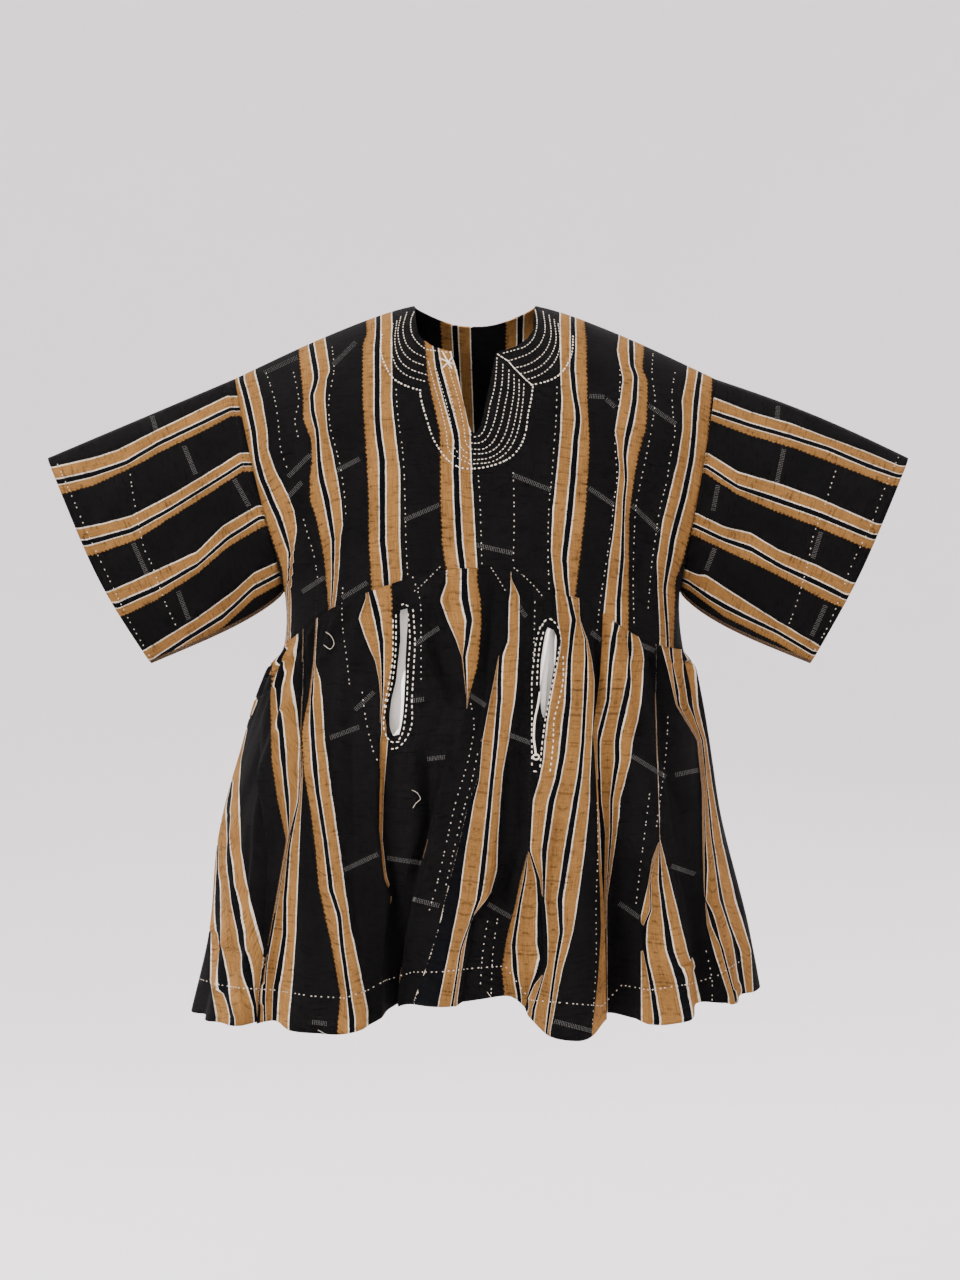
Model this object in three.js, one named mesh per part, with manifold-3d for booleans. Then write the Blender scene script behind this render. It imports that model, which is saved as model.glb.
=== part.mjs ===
// Fugu smock (batakari), a strip-woven West African smock, in its worn shape.
// Hollow cloth panels in millimetres: +Z up, +X to the viewer's right, front towards -Y.
// The origin is on the shoulder line, where the wearer's shoulders carry the smock.

import * as THREE from 'three';
import { mergeVertices } from 'three/addons/utils/BufferGeometryUtils.js';
import Module from 'manifold-3d';

const wasm = await Module();
wasm.setup();

// ---- driving dimensions ----

const WALL = 2; // strip-woven cotton with its turned edges
const SEAM_GAP = 0.3;
const FRONT = -1; // sign of Y on each face
const BACK = 1;

// The shoulder ridge falls from the neck to the head of each sleeve, steeper further out.
const SHOULDER = {
  centreX: -3.5, neckHalfWidth: 66, crownZ: 20, slope: 0.375, steepening: 0.0003, softness: 40,
};
const SHOULDER_END_Z = -70; // where the ridge meets the armhole
const SHOULDER_ROUNDING = 150; // drop over which the cloth turns from the ridge to the chest
const SHOULDER_POWER = 2.3; // squareness of that turn: 2 is a quarter of an ellipse

const WAIST_SIDE_Z = -365; // yoke and skirt seam at the side seams
const HEM_Z = -760;

// Outline of the worn smock: half sections at heights along the side seams.
const SECTIONS = [
  { z: -70, left: -267, right: 261, front: 100, back: 90 },
  { z: -185, left: -240, right: 241, front: 114, back: 102 },
  { z: -301, left: -213, right: 222, front: 122, back: 110 },
  { z: -365, left: -214, right: 226, front: 128, back: 116 },
  { z: -390, left: -231, right: 239, front: 134, back: 122 },
  { z: -480, left: -262, right: 254, front: 146, back: 134 },
  { z: -565, left: -284, right: 266, front: 156, back: 145 },
  { z: -680, left: -295, right: 292, front: 168, back: 157 },
  { z: -760, left: -313, right: 305, front: 176, back: 165 },
];
const SECTION_POWER = 2.5; // 2 is an ellipse, more is squarer
const ARMHOLE_ROUNDNESS = 0.85; // how the yoke closes on its edge beside a sleeve
const SIDE_ROUNDNESS = 0.5; // and below the underarm

// Height of the arched seam between yoke and skirt, round from the left side seam.
const WAIST_SEAM = [
  { deg: 0, front: -365, back: -365 },
  { deg: 22, front: -350, back: -349 },
  { deg: 46, front: -316, back: -320 },
  { deg: 62, front: -297, back: -300 },
  { deg: 76, front: -282, back: -288 },
  { deg: 90, front: -279, back: -284 },
  { deg: 101, front: -286, back: -287 },
  { deg: 108, front: -304, back: -294 },
  { deg: 118, front: -311, back: -305 },
  { deg: 134, front: -344, back: -322 },
  { deg: 150, front: -360, back: -342 },
  { deg: 180, front: -365, back: -365 },
];

// Height of the uneven hem, round from the left side seam.
const HEM = [
  { deg: 0, front: -760, back: -760 },
  { deg: 25, front: -763, back: -758 },
  { deg: 45, front: -760, back: -760 },
  { deg: 62, front: -763, back: -756 },
  { deg: 69, front: -757, back: -754 },
  { deg: 78, front: -745, back: -752 },
  { deg: 89, front: -731, back: -755 },
  { deg: 97, front: -731, back: -758 },
  { deg: 104, front: -762, back: -759 },
  { deg: 114, front: -769, back: -757 },
  { deg: 121, front: -763, back: -754 },
  { deg: 140, front: -752, back: -748 },
  { deg: 150, front: -744, back: -742 },
  { deg: 180, front: -730, back: -730 },
];

// Armholes and sleeves, as points on the front view.
const UNDERARM_AT = 11 / 14; // share of the yoke's side edge that is armhole
const ARMHOLE_DEPTH = { front: 46, back: 42 };
const CUFF_DEPTH = { front: 37, back: 35 };
const LENS_POWER = 0.55; // roundness of the sleeve's section at its two edges
const EDGE_SHARE = 1e-6; // nearer than this to the ridge or the underarm counts as on it
// The ridge rises and the underarm sags from straight, and the cuff's lower part bows out.
const SLEEVES = [
  { name: 'sleeve_left', edge: 0, cuffTop: [-473, -154], cuffFoot: [-359, -380], rise: 0, sag: 9, bow: 7 },
  { name: 'sleeve_right', edge: 1, cuffTop: [473, -154], cuffFoot: [365, -380], rise: 5, sag: 11, bow: 4 },
];
const UNDERARM_SAG_TOWARDS = 0.6; // less than 1 puts the deepest sag nearer the body
const BOW_TOWARDS = 1.6; // more than 1 puts the cuff's bow nearer its foot
// Outward directions along a sleeve's ridge and underarm.
const RIDGE_OUT = { x: 0.38, z: 0.92 };
const UNDERARM_OUT = { x: -0.42, z: -0.9 };

// Neckline and front slit as a front view about SHOULDER.centreX, and the back of the
// neckline as half an ellipse in plan.
const NECK = { halfWidth: 66, curveZ: -22, frontZ: -46, slitHalfWidth: 23, backDepth: 54 };
const SLIT = { kneeZ: -88, kneeHalfWidth: 15, footZ: -134, footHalfWidth: 6.5 };

// Valleys of the skirt's folds: degrees round from the left side seam, degrees
// either side, and millimetres deep in the gathers and at the hem.
const FRONT_FOLDS = [
  { waist: 14, hem: 14, wide: 7, gather: 5, deep: 16 },
  { waist: 28, hem: 28, wide: 6, gather: 7, deep: 14 },
  { waist: 41, hem: 44.5, wide: 6.5, gather: 10, deep: 34 },
  { waist: 51, hem: 59, wide: 6, gather: 6, deep: 14 },
  { waist: 61, hem: 75, wide: 7, gather: 7, deep: 66 },
  { waist: 83, hem: 89, wide: 8, gather: 9, deep: 24 },
  { waist: 95, hem: 99, wide: 5, gather: 8, deep: 36 },
  { waist: 114, hem: 108, wide: 5, gather: 6, deep: 8 },
  { waist: 124, hem: 120.5, wide: 7, gather: 8, deep: 68 },
  { waist: 136, hem: 133, wide: 6, gather: 8, deep: 12 },
  { waist: 147, hem: 145.5, wide: 6, gather: 9, deep: 38 },
  { waist: 163, hem: 161, wide: 7, gather: 6, deep: 18 },
];
const BACK_FOLDS = [
  { waist: 15, hem: 16, wide: 7, gather: 6, deep: 18 },
  { waist: 30, hem: 33, wide: 7, gather: 8, deep: 40 },
  { waist: 44, hem: 47, wide: 6, gather: 7, deep: 16 },
  { waist: 58, hem: 62, wide: 7, gather: 9, deep: 58 },
  { waist: 72, hem: 77, wide: 6, gather: 7, deep: 20 },
  { waist: 87, hem: 90, wide: 7, gather: 10, deep: 46 },
  { waist: 101, hem: 104, wide: 6, gather: 7, deep: 14 },
  { waist: 115, hem: 117, wide: 7, gather: 9, deep: 62 },
  { waist: 131, hem: 132, wide: 6, gather: 7, deep: 18 },
  { waist: 146, hem: 148, wide: 7, gather: 8, deep: 36 },
  { waist: 164, hem: 164, wide: 7, gather: 6, deep: 16 },
];
const FOLD_SWELL = 14; // how far the ridges stand out beyond the plain section at the hem
const GATHERS = { count: 17, height: 3.4, foot: 0.42 }; // small ones, along each half of the seam
const HEM_LIFT = 0.24; // how much of a valley's depth the hem rises
// Shares of the skirt's length over which its folds and gathers grow and fade.
const FOLDS_START = 0.12;
const GATHERS_GROW = { folds: 0.07, small: 0.05 };
const FOLD_GATHERS_FOOT = 0.8;

// Shallow drape of the yoke, from the shoulders to the seam.
const YOKE_DRAPE = [
  { top: 16, foot: 27, wide: 8, deep: 7 },
  { top: 38, foot: 45, wide: 7, deep: 5 },
  { top: 72, foot: 66, wide: 9, deep: 4 },
  { top: 112, foot: 117, wide: 9, deep: 4 },
  { top: 141, foot: 137, wide: 7, deep: 5 },
  { top: 164, foot: 152, wide: 8, deep: 7 },
];

// Pocket slits in the skirt front, with the white bag behind each.
const POCKETS = [
  {
    name: 'pocket_bag_left',
    top: { deg: 70.1, down: 0.06 },
    foot: { deg: 71.6, down: 0.353 },
    halfWidth: { top: 5, middle: 6.5, foot: 7.5 },
  },
  {
    name: 'pocket_bag_right',
    top: { deg: 108.6, down: 0.078 },
    foot: { deg: 104.7, down: 0.385 },
    halfWidth: { top: 5, middle: 6.5, foot: 1.6 },
  },
];
const SLIT_END_POWER = 8; // squareness of a slit's two ends
const LEAST_SLIT = 0.7;
const SLIT_CUT = { before: 4, behind: 3 }; // how far the cutter stands out of the skirt's wall
const BAG = { wall: 1.5, slack: 0.6, halfWidth: 46, above: 0.1, below: 0.3, rimDepth: 6, bulge: 16 };
const BAG_ROUNDNESS = 0.6;
const BAG_END_WALL = 0.01; // share of a slit's length that a millimetre of wall takes at each end

// Grid of each panel: columns round the body or sleeve, rows down or along it.
const GRID = {
  yokeFront: { columns: 40, rows: 14 },
  yokeBack: { columns: 30, rows: 14 },
  sleeve: { rows: 7 },
  skirtFront: { columns: 80, rows: 13 },
  skirtBack: { columns: 60, rows: 11 },
  bag: { columns: 8, rows: 9 },
  slit: { columns: 2, rows: 12 },
};

const CUT_REACH = 300; // longer than any panel that a cutter passes through

const CLOTH = new THREE.MeshStandardMaterial({ color: 0x2a2724, roughness: 0.92, metalness: 0 });
const LINING = new THREE.MeshStandardMaterial({ color: 0xe9e4da, roughness: 0.9, metalness: 0 });

// ---- small functions ----

const mix = (a, b, t) => a + (b - a) * t;
const clamp01 = (t) => Math.min(1, Math.max(0, t));
const smooth = (t) => clamp01(t) * clamp01(t) * (3 - 2 * clamp01(t));
const bell = (t) => Math.exp(-t * t);

// A column of a table at a place between its rows, as a smooth curve through them.
function fromTable(table, key, column, place) {
  const rising = table[1][key] > table[0][key];
  const past = (row) => (rising ? row[key] >= place : row[key] <= place);
  const found = table.findIndex(past);
  const last = found < 0 ? table.length - 1 : Math.max(1, found);
  const rowAt = (i) => table[Math.min(table.length - 1, Math.max(0, i))];
  const rows = [last - 2, last - 1, last, last + 1].map(rowAt);
  const slope = (a, b) => (a === b ? 0 : (b[column] - a[column]) / (b[key] - a[key]));
  const span = rows[2][key] - rows[1][key];
  const t = clamp01((place - rows[1][key]) / span);
  const tangents = [slope(rows[0], rows[2]) * span, slope(rows[1], rows[3]) * span];
  const [t2, t3] = [t * t, t * t * t];
  return (2 * t3 - 3 * t2 + 1) * rows[1][column] + (t3 - 2 * t2 + t) * tangents[0]
    + (3 * t2 - 2 * t3) * rows[2][column] + (t3 - t2) * tangents[1];
}

const faceName = (face) => (face === FRONT ? 'front' : 'back');
const waistZ = (face, across) => fromTable(WAIST_SEAM, 'deg', faceName(face), across * 180);
const hemZ = (face, across) => fromTable(HEM, 'deg', faceName(face), across * 180);
const sectionAt = (z, column) => fromTable(SECTIONS, 'z', column, z);

function ridgeZ(x) {
  const outside = Math.abs(x - SHOULDER.centreX) - SHOULDER.neckHalfWidth;
  const softened = (outside + Math.hypot(outside, SHOULDER.softness)) / 2;
  return SHOULDER.crownZ - (SHOULDER.slope + SHOULDER.steepening * softened) * softened;
}

// ---- surfaces: across runs 0 to 1 from the left edge to the right, down runs 0 to 1 ----

function armholeDepth(face, down) {
  const t = down / UNDERARM_AT;
  return t >= 1 ? 0 : ARMHOLE_DEPTH[faceName(face)] * Math.sin(Math.PI * t) ** LENS_POWER;
}

function yokeDrape(across, down) {
  const degrees = across * 180;
  const valley = (fold) => fold.deep * bell((degrees - mix(fold.top, fold.foot, down)) / fold.wide);
  return YOKE_DRAPE.reduce((sum, fold) => sum + valley(fold), 0) * Math.sin(Math.PI * clamp01(down)) ** 1.5;
}

function yokePoint(face, across, down) {
  const sideZ = mix(SHOULDER_END_Z, WAIST_SIDE_Z, down);
  const spread = -Math.cos(Math.PI * across);
  const at = (z) => mix(sectionAt(z, 'left'), sectionAt(z, 'right'), (1 + spread) / 2);
  const topZ = ridgeZ(at(SHOULDER_END_Z));
  const z = mix(topZ, waistZ(face, across), down);
  const turned = clamp01((topZ - z) / SHOULDER_ROUNDING);
  const arch = (1 - (1 - turned) ** SHOULDER_POWER) ** (1 / SHOULDER_POWER);
  const full = (sectionAt(sideZ, faceName(face)) - yokeDrape(across, down)) * arch;
  const edge = armholeDepth(face, down);
  const roundness = mix(ARMHOLE_ROUNDNESS, SIDE_ROUNDNESS, smooth((down - 0.5) / (UNDERARM_AT - 0.5)));
  const curve = (1 - Math.abs(spread) ** SECTION_POWER) ** roundness;
  return new THREE.Vector3(at(sideZ), face * (edge + (full - edge) * curve + SEAM_GAP / 2), z);
}

// Height of the folds out from (positive) or in from the plain section of the skirt.
function foldRelief(face, across, down) {
  const degrees = across * 180;
  const folds = face === FRONT ? FRONT_FOLDS : BACK_FOLDS;
  const hanging = smooth((down - FOLDS_START) / (1 - FOLDS_START)) * down;
  const gathered = smooth(down / GATHERS_GROW.folds) * (1 - smooth(down / FOLD_GATHERS_FOOT));
  const depthOf = (fold) => fold.gather * gathered + fold.deep * hanging;
  const valley = (fold) => depthOf(fold) * bell((degrees - mix(fold.waist, fold.hem, down)) / fold.wide);
  const valleys = folds.reduce((sum, fold) => sum + valley(fold), 0);
  const small = GATHERS.height * Math.sin(2 * Math.PI * GATHERS.count * across);
  const smallShare = smooth(down / GATHERS_GROW.small) * (1 - smooth(down / GATHERS.foot));
  const swell = FOLD_SWELL * hanging * Math.sin(Math.PI * across) ** 0.5;
  return swell - valleys + small * smallShare;
}

function skirtPoint(face, across, down) {
  const sideZ = mix(WAIST_SIDE_Z, HEM_Z, down);
  const spread = -Math.cos(Math.PI * across);
  const [left, right] = [sectionAt(sideZ, 'left'), sectionAt(sideZ, 'right')];
  const depth = sectionAt(sideZ, faceName(face));
  const curve = Math.sqrt(1 - Math.abs(spread) ** SECTION_POWER);
  const outX = (SECTION_POWER * Math.sign(spread) * Math.abs(spread) ** (SECTION_POWER - 1)) / (right - left);
  const outY = curve / depth;
  const relief = foldRelief(face, across, down);
  const length = Math.hypot(outX, outY);
  const seamDrop = SEAM_GAP * (1 - down);
  return new THREE.Vector3(
    mix(left, right, (1 + spread) / 2) + (relief * outX) / length,
    face * (depth * curve + (relief * outY) / length + SEAM_GAP / 2),
    mix(waistZ(face, across) - seamDrop, hemZ(face, across), down) + HEM_LIFT * Math.max(0, -relief) * down,
  );
}

// Round a sleeve: from the shoulder ridge down the front to the underarm, and up the back.
function sleevePoint(sleeve, round, along) {
  const face = round <= 0.5 ? FRONT : BACK;
  const fall = round <= 0.5 ? round * 2 : 2 - round * 2;
  const outward = sleeve.edge === 0 ? -1 : 1;
  const start = yokePoint(face, sleeve.edge, fall * UNDERARM_AT);
  const top = yokePoint(face, sleeve.edge, 0);
  const foot = yokePoint(face, sleeve.edge, UNDERARM_AT);
  const toX = mix(sleeve.cuffTop[0] - top.x, sleeve.cuffFoot[0] - foot.x, fall);
  const toZ = mix(sleeve.cuffTop[1] - top.z, sleeve.cuffFoot[1] - foot.z, fall);
  const lens = Math.max(0, Math.sin(Math.PI * fall)) ** LENS_POWER;
  const atEdge = fall < EDGE_SHARE || fall > 1 - EDGE_SHARE;
  const startDepth = atEdge ? 0 : Math.abs(start.y);
  const depth = mix(startDepth, CUFF_DEPTH[faceName(face)] * lens, along);
  const sag = sleeve.sag * fall * Math.sin(Math.PI * along ** UNDERARM_SAG_TOWARDS);
  const rise = sleeve.rise * (1 - fall) * Math.sin(Math.PI * along);
  const bow = sleeve.bow * along * Math.sin(Math.PI * fall ** BOW_TOWARDS);
  return new THREE.Vector3(
    start.x + toX * along + outward * (SEAM_GAP + bow),
    face * depth,
    start.z + toZ * along - sag + rise,
  );
}

// ---- from surfaces to thin solids ----

const NUDGE = 0.002; // step in across and down for the slopes of a surface

function outwardNormal(surface, across, down, face) {
  const [a0, a1] = [Math.max(0, across - NUDGE), Math.min(1, across + NUDGE)];
  const [d0, d1] = [Math.max(0, down - NUDGE), Math.min(1, down + NUDGE)];
  const alongAcross = surface(a1, down).sub(surface(a0, down));
  const alongDown = surface(across, d1).sub(surface(across, d0));
  return alongDown.cross(alongAcross).normalize().multiplyScalar(-face);
}

// Points of the outer and inner skins: grid[row][column].
function skins(columns, rows, surface, normal, wall) {
  const build = (depth) => Array.from({ length: rows + 1 }, (_, row) =>
    Array.from({ length: columns + 1 }, (_, column) => {
      const [across, down] = [column / columns, row / rows];
      return surface(across, down).addScaledVector(normal(across, down), -depth);
    }));
  return { outer: build(0), inner: build(wall) };
}

class MeshBuilder {
  constructor() {
    this.positions = [];
  }

  triangle(a, b, c) {
    for (const point of [a, b, c]) this.positions.push(point.x, point.y, point.z);
  }

  // Split on the shorter diagonal, so that two edges that face each other at a seam match.
  quad(a, b, c, d) {
    const [p, q, r, s] = a.distanceTo(c) <= b.distanceTo(d) ? [a, b, c, d] : [b, c, d, a];
    this.triangle(p, q, r);
    this.triangle(p, r, s);
  }

  geometry() {
    const geometry = new THREE.BufferGeometry();
    geometry.setAttribute('position', new THREE.Float32BufferAttribute(this.positions, 3));
    return mergeVertices(geometry, 1e-4);
  }
}

// A closed sheet from two skins. A wrapped one joins its first and last columns.
function sheetGeometry({ outer, inner }, flip, wrapped = false) {
  const mesh = new MeshBuilder();
  const quad = (a, b, c, d) => (flip ? mesh.quad(d, c, b, a) : mesh.quad(a, b, c, d));
  const [rows, columns] = [outer.length - 1, outer[0].length - 1];
  for (let row = 0; row < rows; row++) {
    for (let column = 0; column < columns; column++) {
      const next = column + 1;
      quad(outer[row][column], outer[row + 1][column], outer[row + 1][next], outer[row][next]);
      quad(inner[row][next], inner[row + 1][next], inner[row + 1][column], inner[row][column]);
    }
    if (!wrapped) {
      quad(outer[row][0], inner[row][0], inner[row + 1][0], outer[row + 1][0]);
      quad(outer[row + 1][columns], inner[row + 1][columns], inner[row][columns], outer[row][columns]);
    }
  }
  for (let column = 0; column < columns; column++) {
    const next = column + 1;
    quad(outer[0][next], inner[0][next], inner[0][column], outer[0][column]);
    quad(outer[rows][column], inner[rows][column], inner[rows][next], outer[rows][next]);
  }
  return mesh.geometry();
}

function toManifold(geometry) {
  return new wasm.Manifold(new wasm.Mesh({
    numProp: 3,
    vertProperties: new Float32Array(geometry.attributes.position.array),
    triVerts: new Uint32Array(geometry.index.array),
  }));
}

function fromManifold(solid) {
  const mesh = solid.getMesh();
  const geometry = new THREE.BufferGeometry();
  geometry.setAttribute('position', new THREE.Float32BufferAttribute(mesh.vertProperties, 3));
  geometry.setIndex([...mesh.triVerts]);
  return geometry;
}

// A cutter of one outline, with a length along +Z.
function prism(outline, length) {
  const geometry = new THREE.ExtrudeGeometry(outline, {
    depth: length, bevelEnabled: false, curveSegments: 12,
  });
  geometry.deleteAttribute('normal');
  geometry.deleteAttribute('uv');
  return geometry;
}

// The outline as seen from the front, cut through whatever stands before the origin.
function frontCutter(outline) {
  const geometry = prism(outline, CUT_REACH).rotateX(Math.PI / 2);
  return toManifold(mergeVertices(geometry));
}

// The outline as seen from above, cut down from well over the shoulders.
function topCutter(outline) {
  const geometry = prism(outline, CUT_REACH).translate(0, 0, -CUT_REACH / 2);
  return toManifold(mergeVertices(geometry));
}

// ---- the yoke, with its neckline ----

function neckOutline() {
  const bottomZ = NECK.frontZ;
  const top = SHOULDER.crownZ + 30;
  const outline = new THREE.Shape();
  const at = (x) => x + SHOULDER.centreX;
  outline.moveTo(at(-NECK.halfWidth), top);
  outline.lineTo(at(-NECK.halfWidth), NECK.curveZ / 2);
  outline.bezierCurveTo(
    at(-NECK.halfWidth), mix(NECK.curveZ, bottomZ, 0.6),
    at(-NECK.halfWidth * 0.75), bottomZ,
    at(0), bottomZ,
  );
  outline.bezierCurveTo(
    at(NECK.halfWidth * 0.75), bottomZ,
    at(NECK.halfWidth), mix(NECK.curveZ, bottomZ, 0.6),
    at(NECK.halfWidth), NECK.curveZ / 2,
  );
  outline.lineTo(at(NECK.halfWidth), top);
  return outline;
}

function slitOutline() {
  const outline = new THREE.Shape();
  const at = (x) => x + SHOULDER.centreX;
  outline.moveTo(at(-NECK.slitHalfWidth), NECK.frontZ + 8);
  outline.lineTo(at(-SLIT.kneeHalfWidth), SLIT.kneeZ);
  outline.lineTo(at(-SLIT.footHalfWidth), SLIT.footZ + 6);
  outline.quadraticCurveTo(at(0), SLIT.footZ - 4, at(SLIT.footHalfWidth), SLIT.footZ + 6);
  outline.lineTo(at(SLIT.kneeHalfWidth), SLIT.kneeZ);
  outline.lineTo(at(NECK.slitHalfWidth), NECK.frontZ + 8);
  return outline;
}

// The ridge's own slope, and the side seams' outward direction, are shared by both faces.
function yokeNormal(face, across, down) {
  if (down === 0) {
    const x = yokePoint(face, across, 0).x;
    return new THREE.Vector3(ridgeZ(x - 1) - ridgeZ(x + 1), 0, 2).normalize();
  }
  const atSide = across === 0 || across === 1;
  if (atSide && down >= UNDERARM_AT) return new THREE.Vector3(across * 2 - 1, 0, 0);
  return outwardNormal((a, d) => yokePoint(face, a, d), across, down, face);
}

function yokeSolid(face, { columns, rows }) {
  const surface = (across, down) => yokePoint(face, across, down);
  const normal = (across, down) => yokeNormal(face, across, down);
  return toManifold(sheetGeometry(skins(columns, rows, surface, normal, WALL), face === BACK));
}

function yokeFrontGeometry() {
  const panel = yokeSolid(FRONT, GRID.yokeFront);
  return fromManifold(panel.subtract(frontCutter(neckOutline())).subtract(frontCutter(slitOutline())));
}

function yokeBackGeometry() {
  const outline = new THREE.Shape();
  outline.absellipse(SHOULDER.centreX, 0, NECK.halfWidth, NECK.backDepth, 0, 2 * Math.PI);
  return fromManifold(yokeSolid(BACK, GRID.yokeBack).subtract(topCutter(outline)));
}

// ---- sleeves ----

function sleeveNormal(sleeve, round, along) {
  const [face, fall] = round <= 0.5 ? [FRONT, round * 2] : [BACK, 2 - round * 2];
  const atUnderarm = fall > 1 - EDGE_SHARE;
  if (along === 0 && !atUnderarm) return yokeNormal(face, sleeve.edge, fall * UNDERARM_AT);
  const outward = sleeve.edge === 0 ? -1 : 1;
  if (fall < EDGE_SHARE) return new THREE.Vector3(outward * RIDGE_OUT.x, 0, RIDGE_OUT.z);
  if (atUnderarm) return new THREE.Vector3(outward * UNDERARM_OUT.x, 0, UNDERARM_OUT.z);
  const surface = (a, d) => sleevePoint(sleeve, a, d);
  return outwardNormal(surface, round, along, sleeve.edge === 0 ? FRONT : BACK);
}

function sleeveGeometry(sleeve) {
  const columns = 2 * Math.round(UNDERARM_AT * GRID.yokeFront.rows);
  const surface = (round, along) => sleevePoint(sleeve, round, along);
  const normal = (round, along) => sleeveNormal(sleeve, round % 1, along);
  const layers = skins(columns, GRID.sleeve.rows, surface, normal, WALL);
  return sheetGeometry(layers, sleeve.edge === 1, true);
}

// ---- skirt and pockets ----

function skirtNormal(face, across, down) {
  const normal = outwardNormal((a, d) => skirtPoint(face, a, d), across, down, face);
  if (across > 0 && across < 1) return normal;
  return normal.setY(0).normalize();
}

// The skirt's top edge follows the yoke's lower edge, facet by facet.
function alongYokeEdge(face, across, valueAt) {
  const { columns } = face === FRONT ? GRID.yokeFront : GRID.yokeBack;
  const place = across * columns;
  const first = Math.min(columns - 1, Math.floor(place));
  return valueAt(first / columns).lerp(valueAt((first + 1) / columns), place - first);
}

function skirtGeometry(face, { columns, rows }, wall = WALL) {
  const seamPoint = (across) => yokePoint(face, across, 1).setZ(waistZ(face, across) - SEAM_GAP);
  const seamNormal = (across) => yokeNormal(face, across, 1);
  const surface = (across, down) =>
    (down === 0 ? alongYokeEdge(face, across, seamPoint) : skirtPoint(face, across, down));
  const normal = (across, down) =>
    (down === 0 ? alongYokeEdge(face, across, seamNormal) : skirtNormal(face, across, down));
  return sheetGeometry(skins(columns, rows, surface, normal, wall), face === BACK);
}

// Half width of a pocket slit at a share of its length.
function slitHalfWidth({ halfWidth }, share) {
  const side = share < 0.5 ? mix(halfWidth.top, halfWidth.middle, smooth(share * 2))
    : mix(halfWidth.middle, halfWidth.foot, smooth(share * 2 - 1));
  const rounded = Math.sqrt(Math.max(0, 1 - Math.abs(2 * share - 1) ** SLIT_END_POWER));
  return Math.max(LEAST_SLIT, side * rounded);
}

// Places across and down the skirt front, a number of millimetres beside a slit's centre line.
function besideSlit(pocket, share, beside) {
  const degrees = mix(pocket.top.deg, pocket.foot.deg, share);
  const down = mix(pocket.top.down, pocket.foot.down, share);
  const sideZ = mix(WAIST_SIDE_Z, HEM_Z, down);
  const width = sectionAt(sideZ, 'right') - sectionAt(sideZ, 'left');
  const turn = (beside * 2) / (width * Math.sin((degrees * Math.PI) / 180));
  return { across: degrees / 180 + turn / Math.PI, down };
}

// A closed pillow behind the skirt front, between two depths inside its face.
function pillow(pocket, grid, range, halfWidthAt, depthFrom, depthTo) {
  const place = (x, y) => {
    const share = mix(range.from, range.to, y);
    return besideSlit(pocket, share, (2 * x - 1) * halfWidthAt(share));
  };
  const layer = (depthAt) => Array.from({ length: grid.rows + 1 }, (_, row) =>
    Array.from({ length: grid.columns + 1 }, (_, column) => {
      const [x, y] = [column / grid.columns, row / grid.rows];
      const { across, down } = place(x, y);
      const normal = skirtNormal(FRONT, across, down);
      return skirtPoint(FRONT, across, down).addScaledVector(normal, -depthAt(x, y));
    }));
  return toManifold(sheetGeometry({ outer: layer(depthFrom), inner: layer(depthTo) }, false));
}

function slitCutter(pocket, depth) {
  const halfWidth = (share) => slitHalfWidth(pocket, share);
  const whole = { from: 0, to: 1 };
  return pillow(pocket, GRID.slit, whole, halfWidth, () => -SLIT_CUT.before, () => depth);
}

function skirtFrontGeometry() {
  const cut = (solid, pocket) => solid.subtract(slitCutter(pocket, WALL + SLIT_CUT.behind));
  return fromManifold(POCKETS.reduce(cut, toManifold(skirtGeometry(FRONT, GRID.skirtFront))));
}

function bagGeometry(pocket, clearOfSkirt) {
  const front = WALL + SEAM_GAP + BAG.slack;
  const arch = (t) => Math.sin(Math.PI * clamp01(t));
  const bulge = (x, y) => BAG.bulge * (arch(x) * arch(y)) ** BAG_ROUNDNESS;
  const shell = (wall) => {
    const length = 1 + BAG.above + BAG.below;
    const trim = (wall * BAG_END_WALL) / length;
    const range = { from: -BAG.above + trim, to: 1 + BAG.below - trim };
    const halfWidth = () => BAG.halfWidth - wall;
    const back = (x, y) => front + BAG.rimDepth + bulge(x, y) - wall;
    return pillow(pocket, GRID.bag, range, halfWidth, () => front + wall, back);
  };
  const bag = shell(0).subtract(shell(BAG.wall)).subtract(clearOfSkirt);
  return fromManifold(bag.subtract(slitCutter(pocket, front + BAG.wall + 1)));
}

// ---- the smock ----

const group = new THREE.Group();

function addPiece(name, geometry, material) {
  geometry.computeVertexNormals();
  const mesh = new THREE.Mesh(geometry, material);
  mesh.name = name;
  group.add(mesh);
}

addPiece('yoke_front', yokeFrontGeometry(), CLOTH);
addPiece('yoke_back', yokeBackGeometry(), CLOTH);
for (const sleeve of SLEEVES) addPiece(sleeve.name, sleeveGeometry(sleeve), CLOTH);
addPiece('skirt_front', skirtFrontGeometry(), CLOTH);
addPiece('skirt_back', skirtGeometry(BACK, GRID.skirtBack), CLOTH);
const clearOfSkirt = toManifold(skirtGeometry(FRONT, GRID.skirtFront, WALL + SEAM_GAP));
for (const pocket of POCKETS) addPiece(pocket.name, bagGeometry(pocket, clearOfSkirt), LINING);

export default group;
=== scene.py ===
import math

import bpy
import numpy as np
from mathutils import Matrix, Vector
from mathutils.bvhtree import BVHTree


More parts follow.
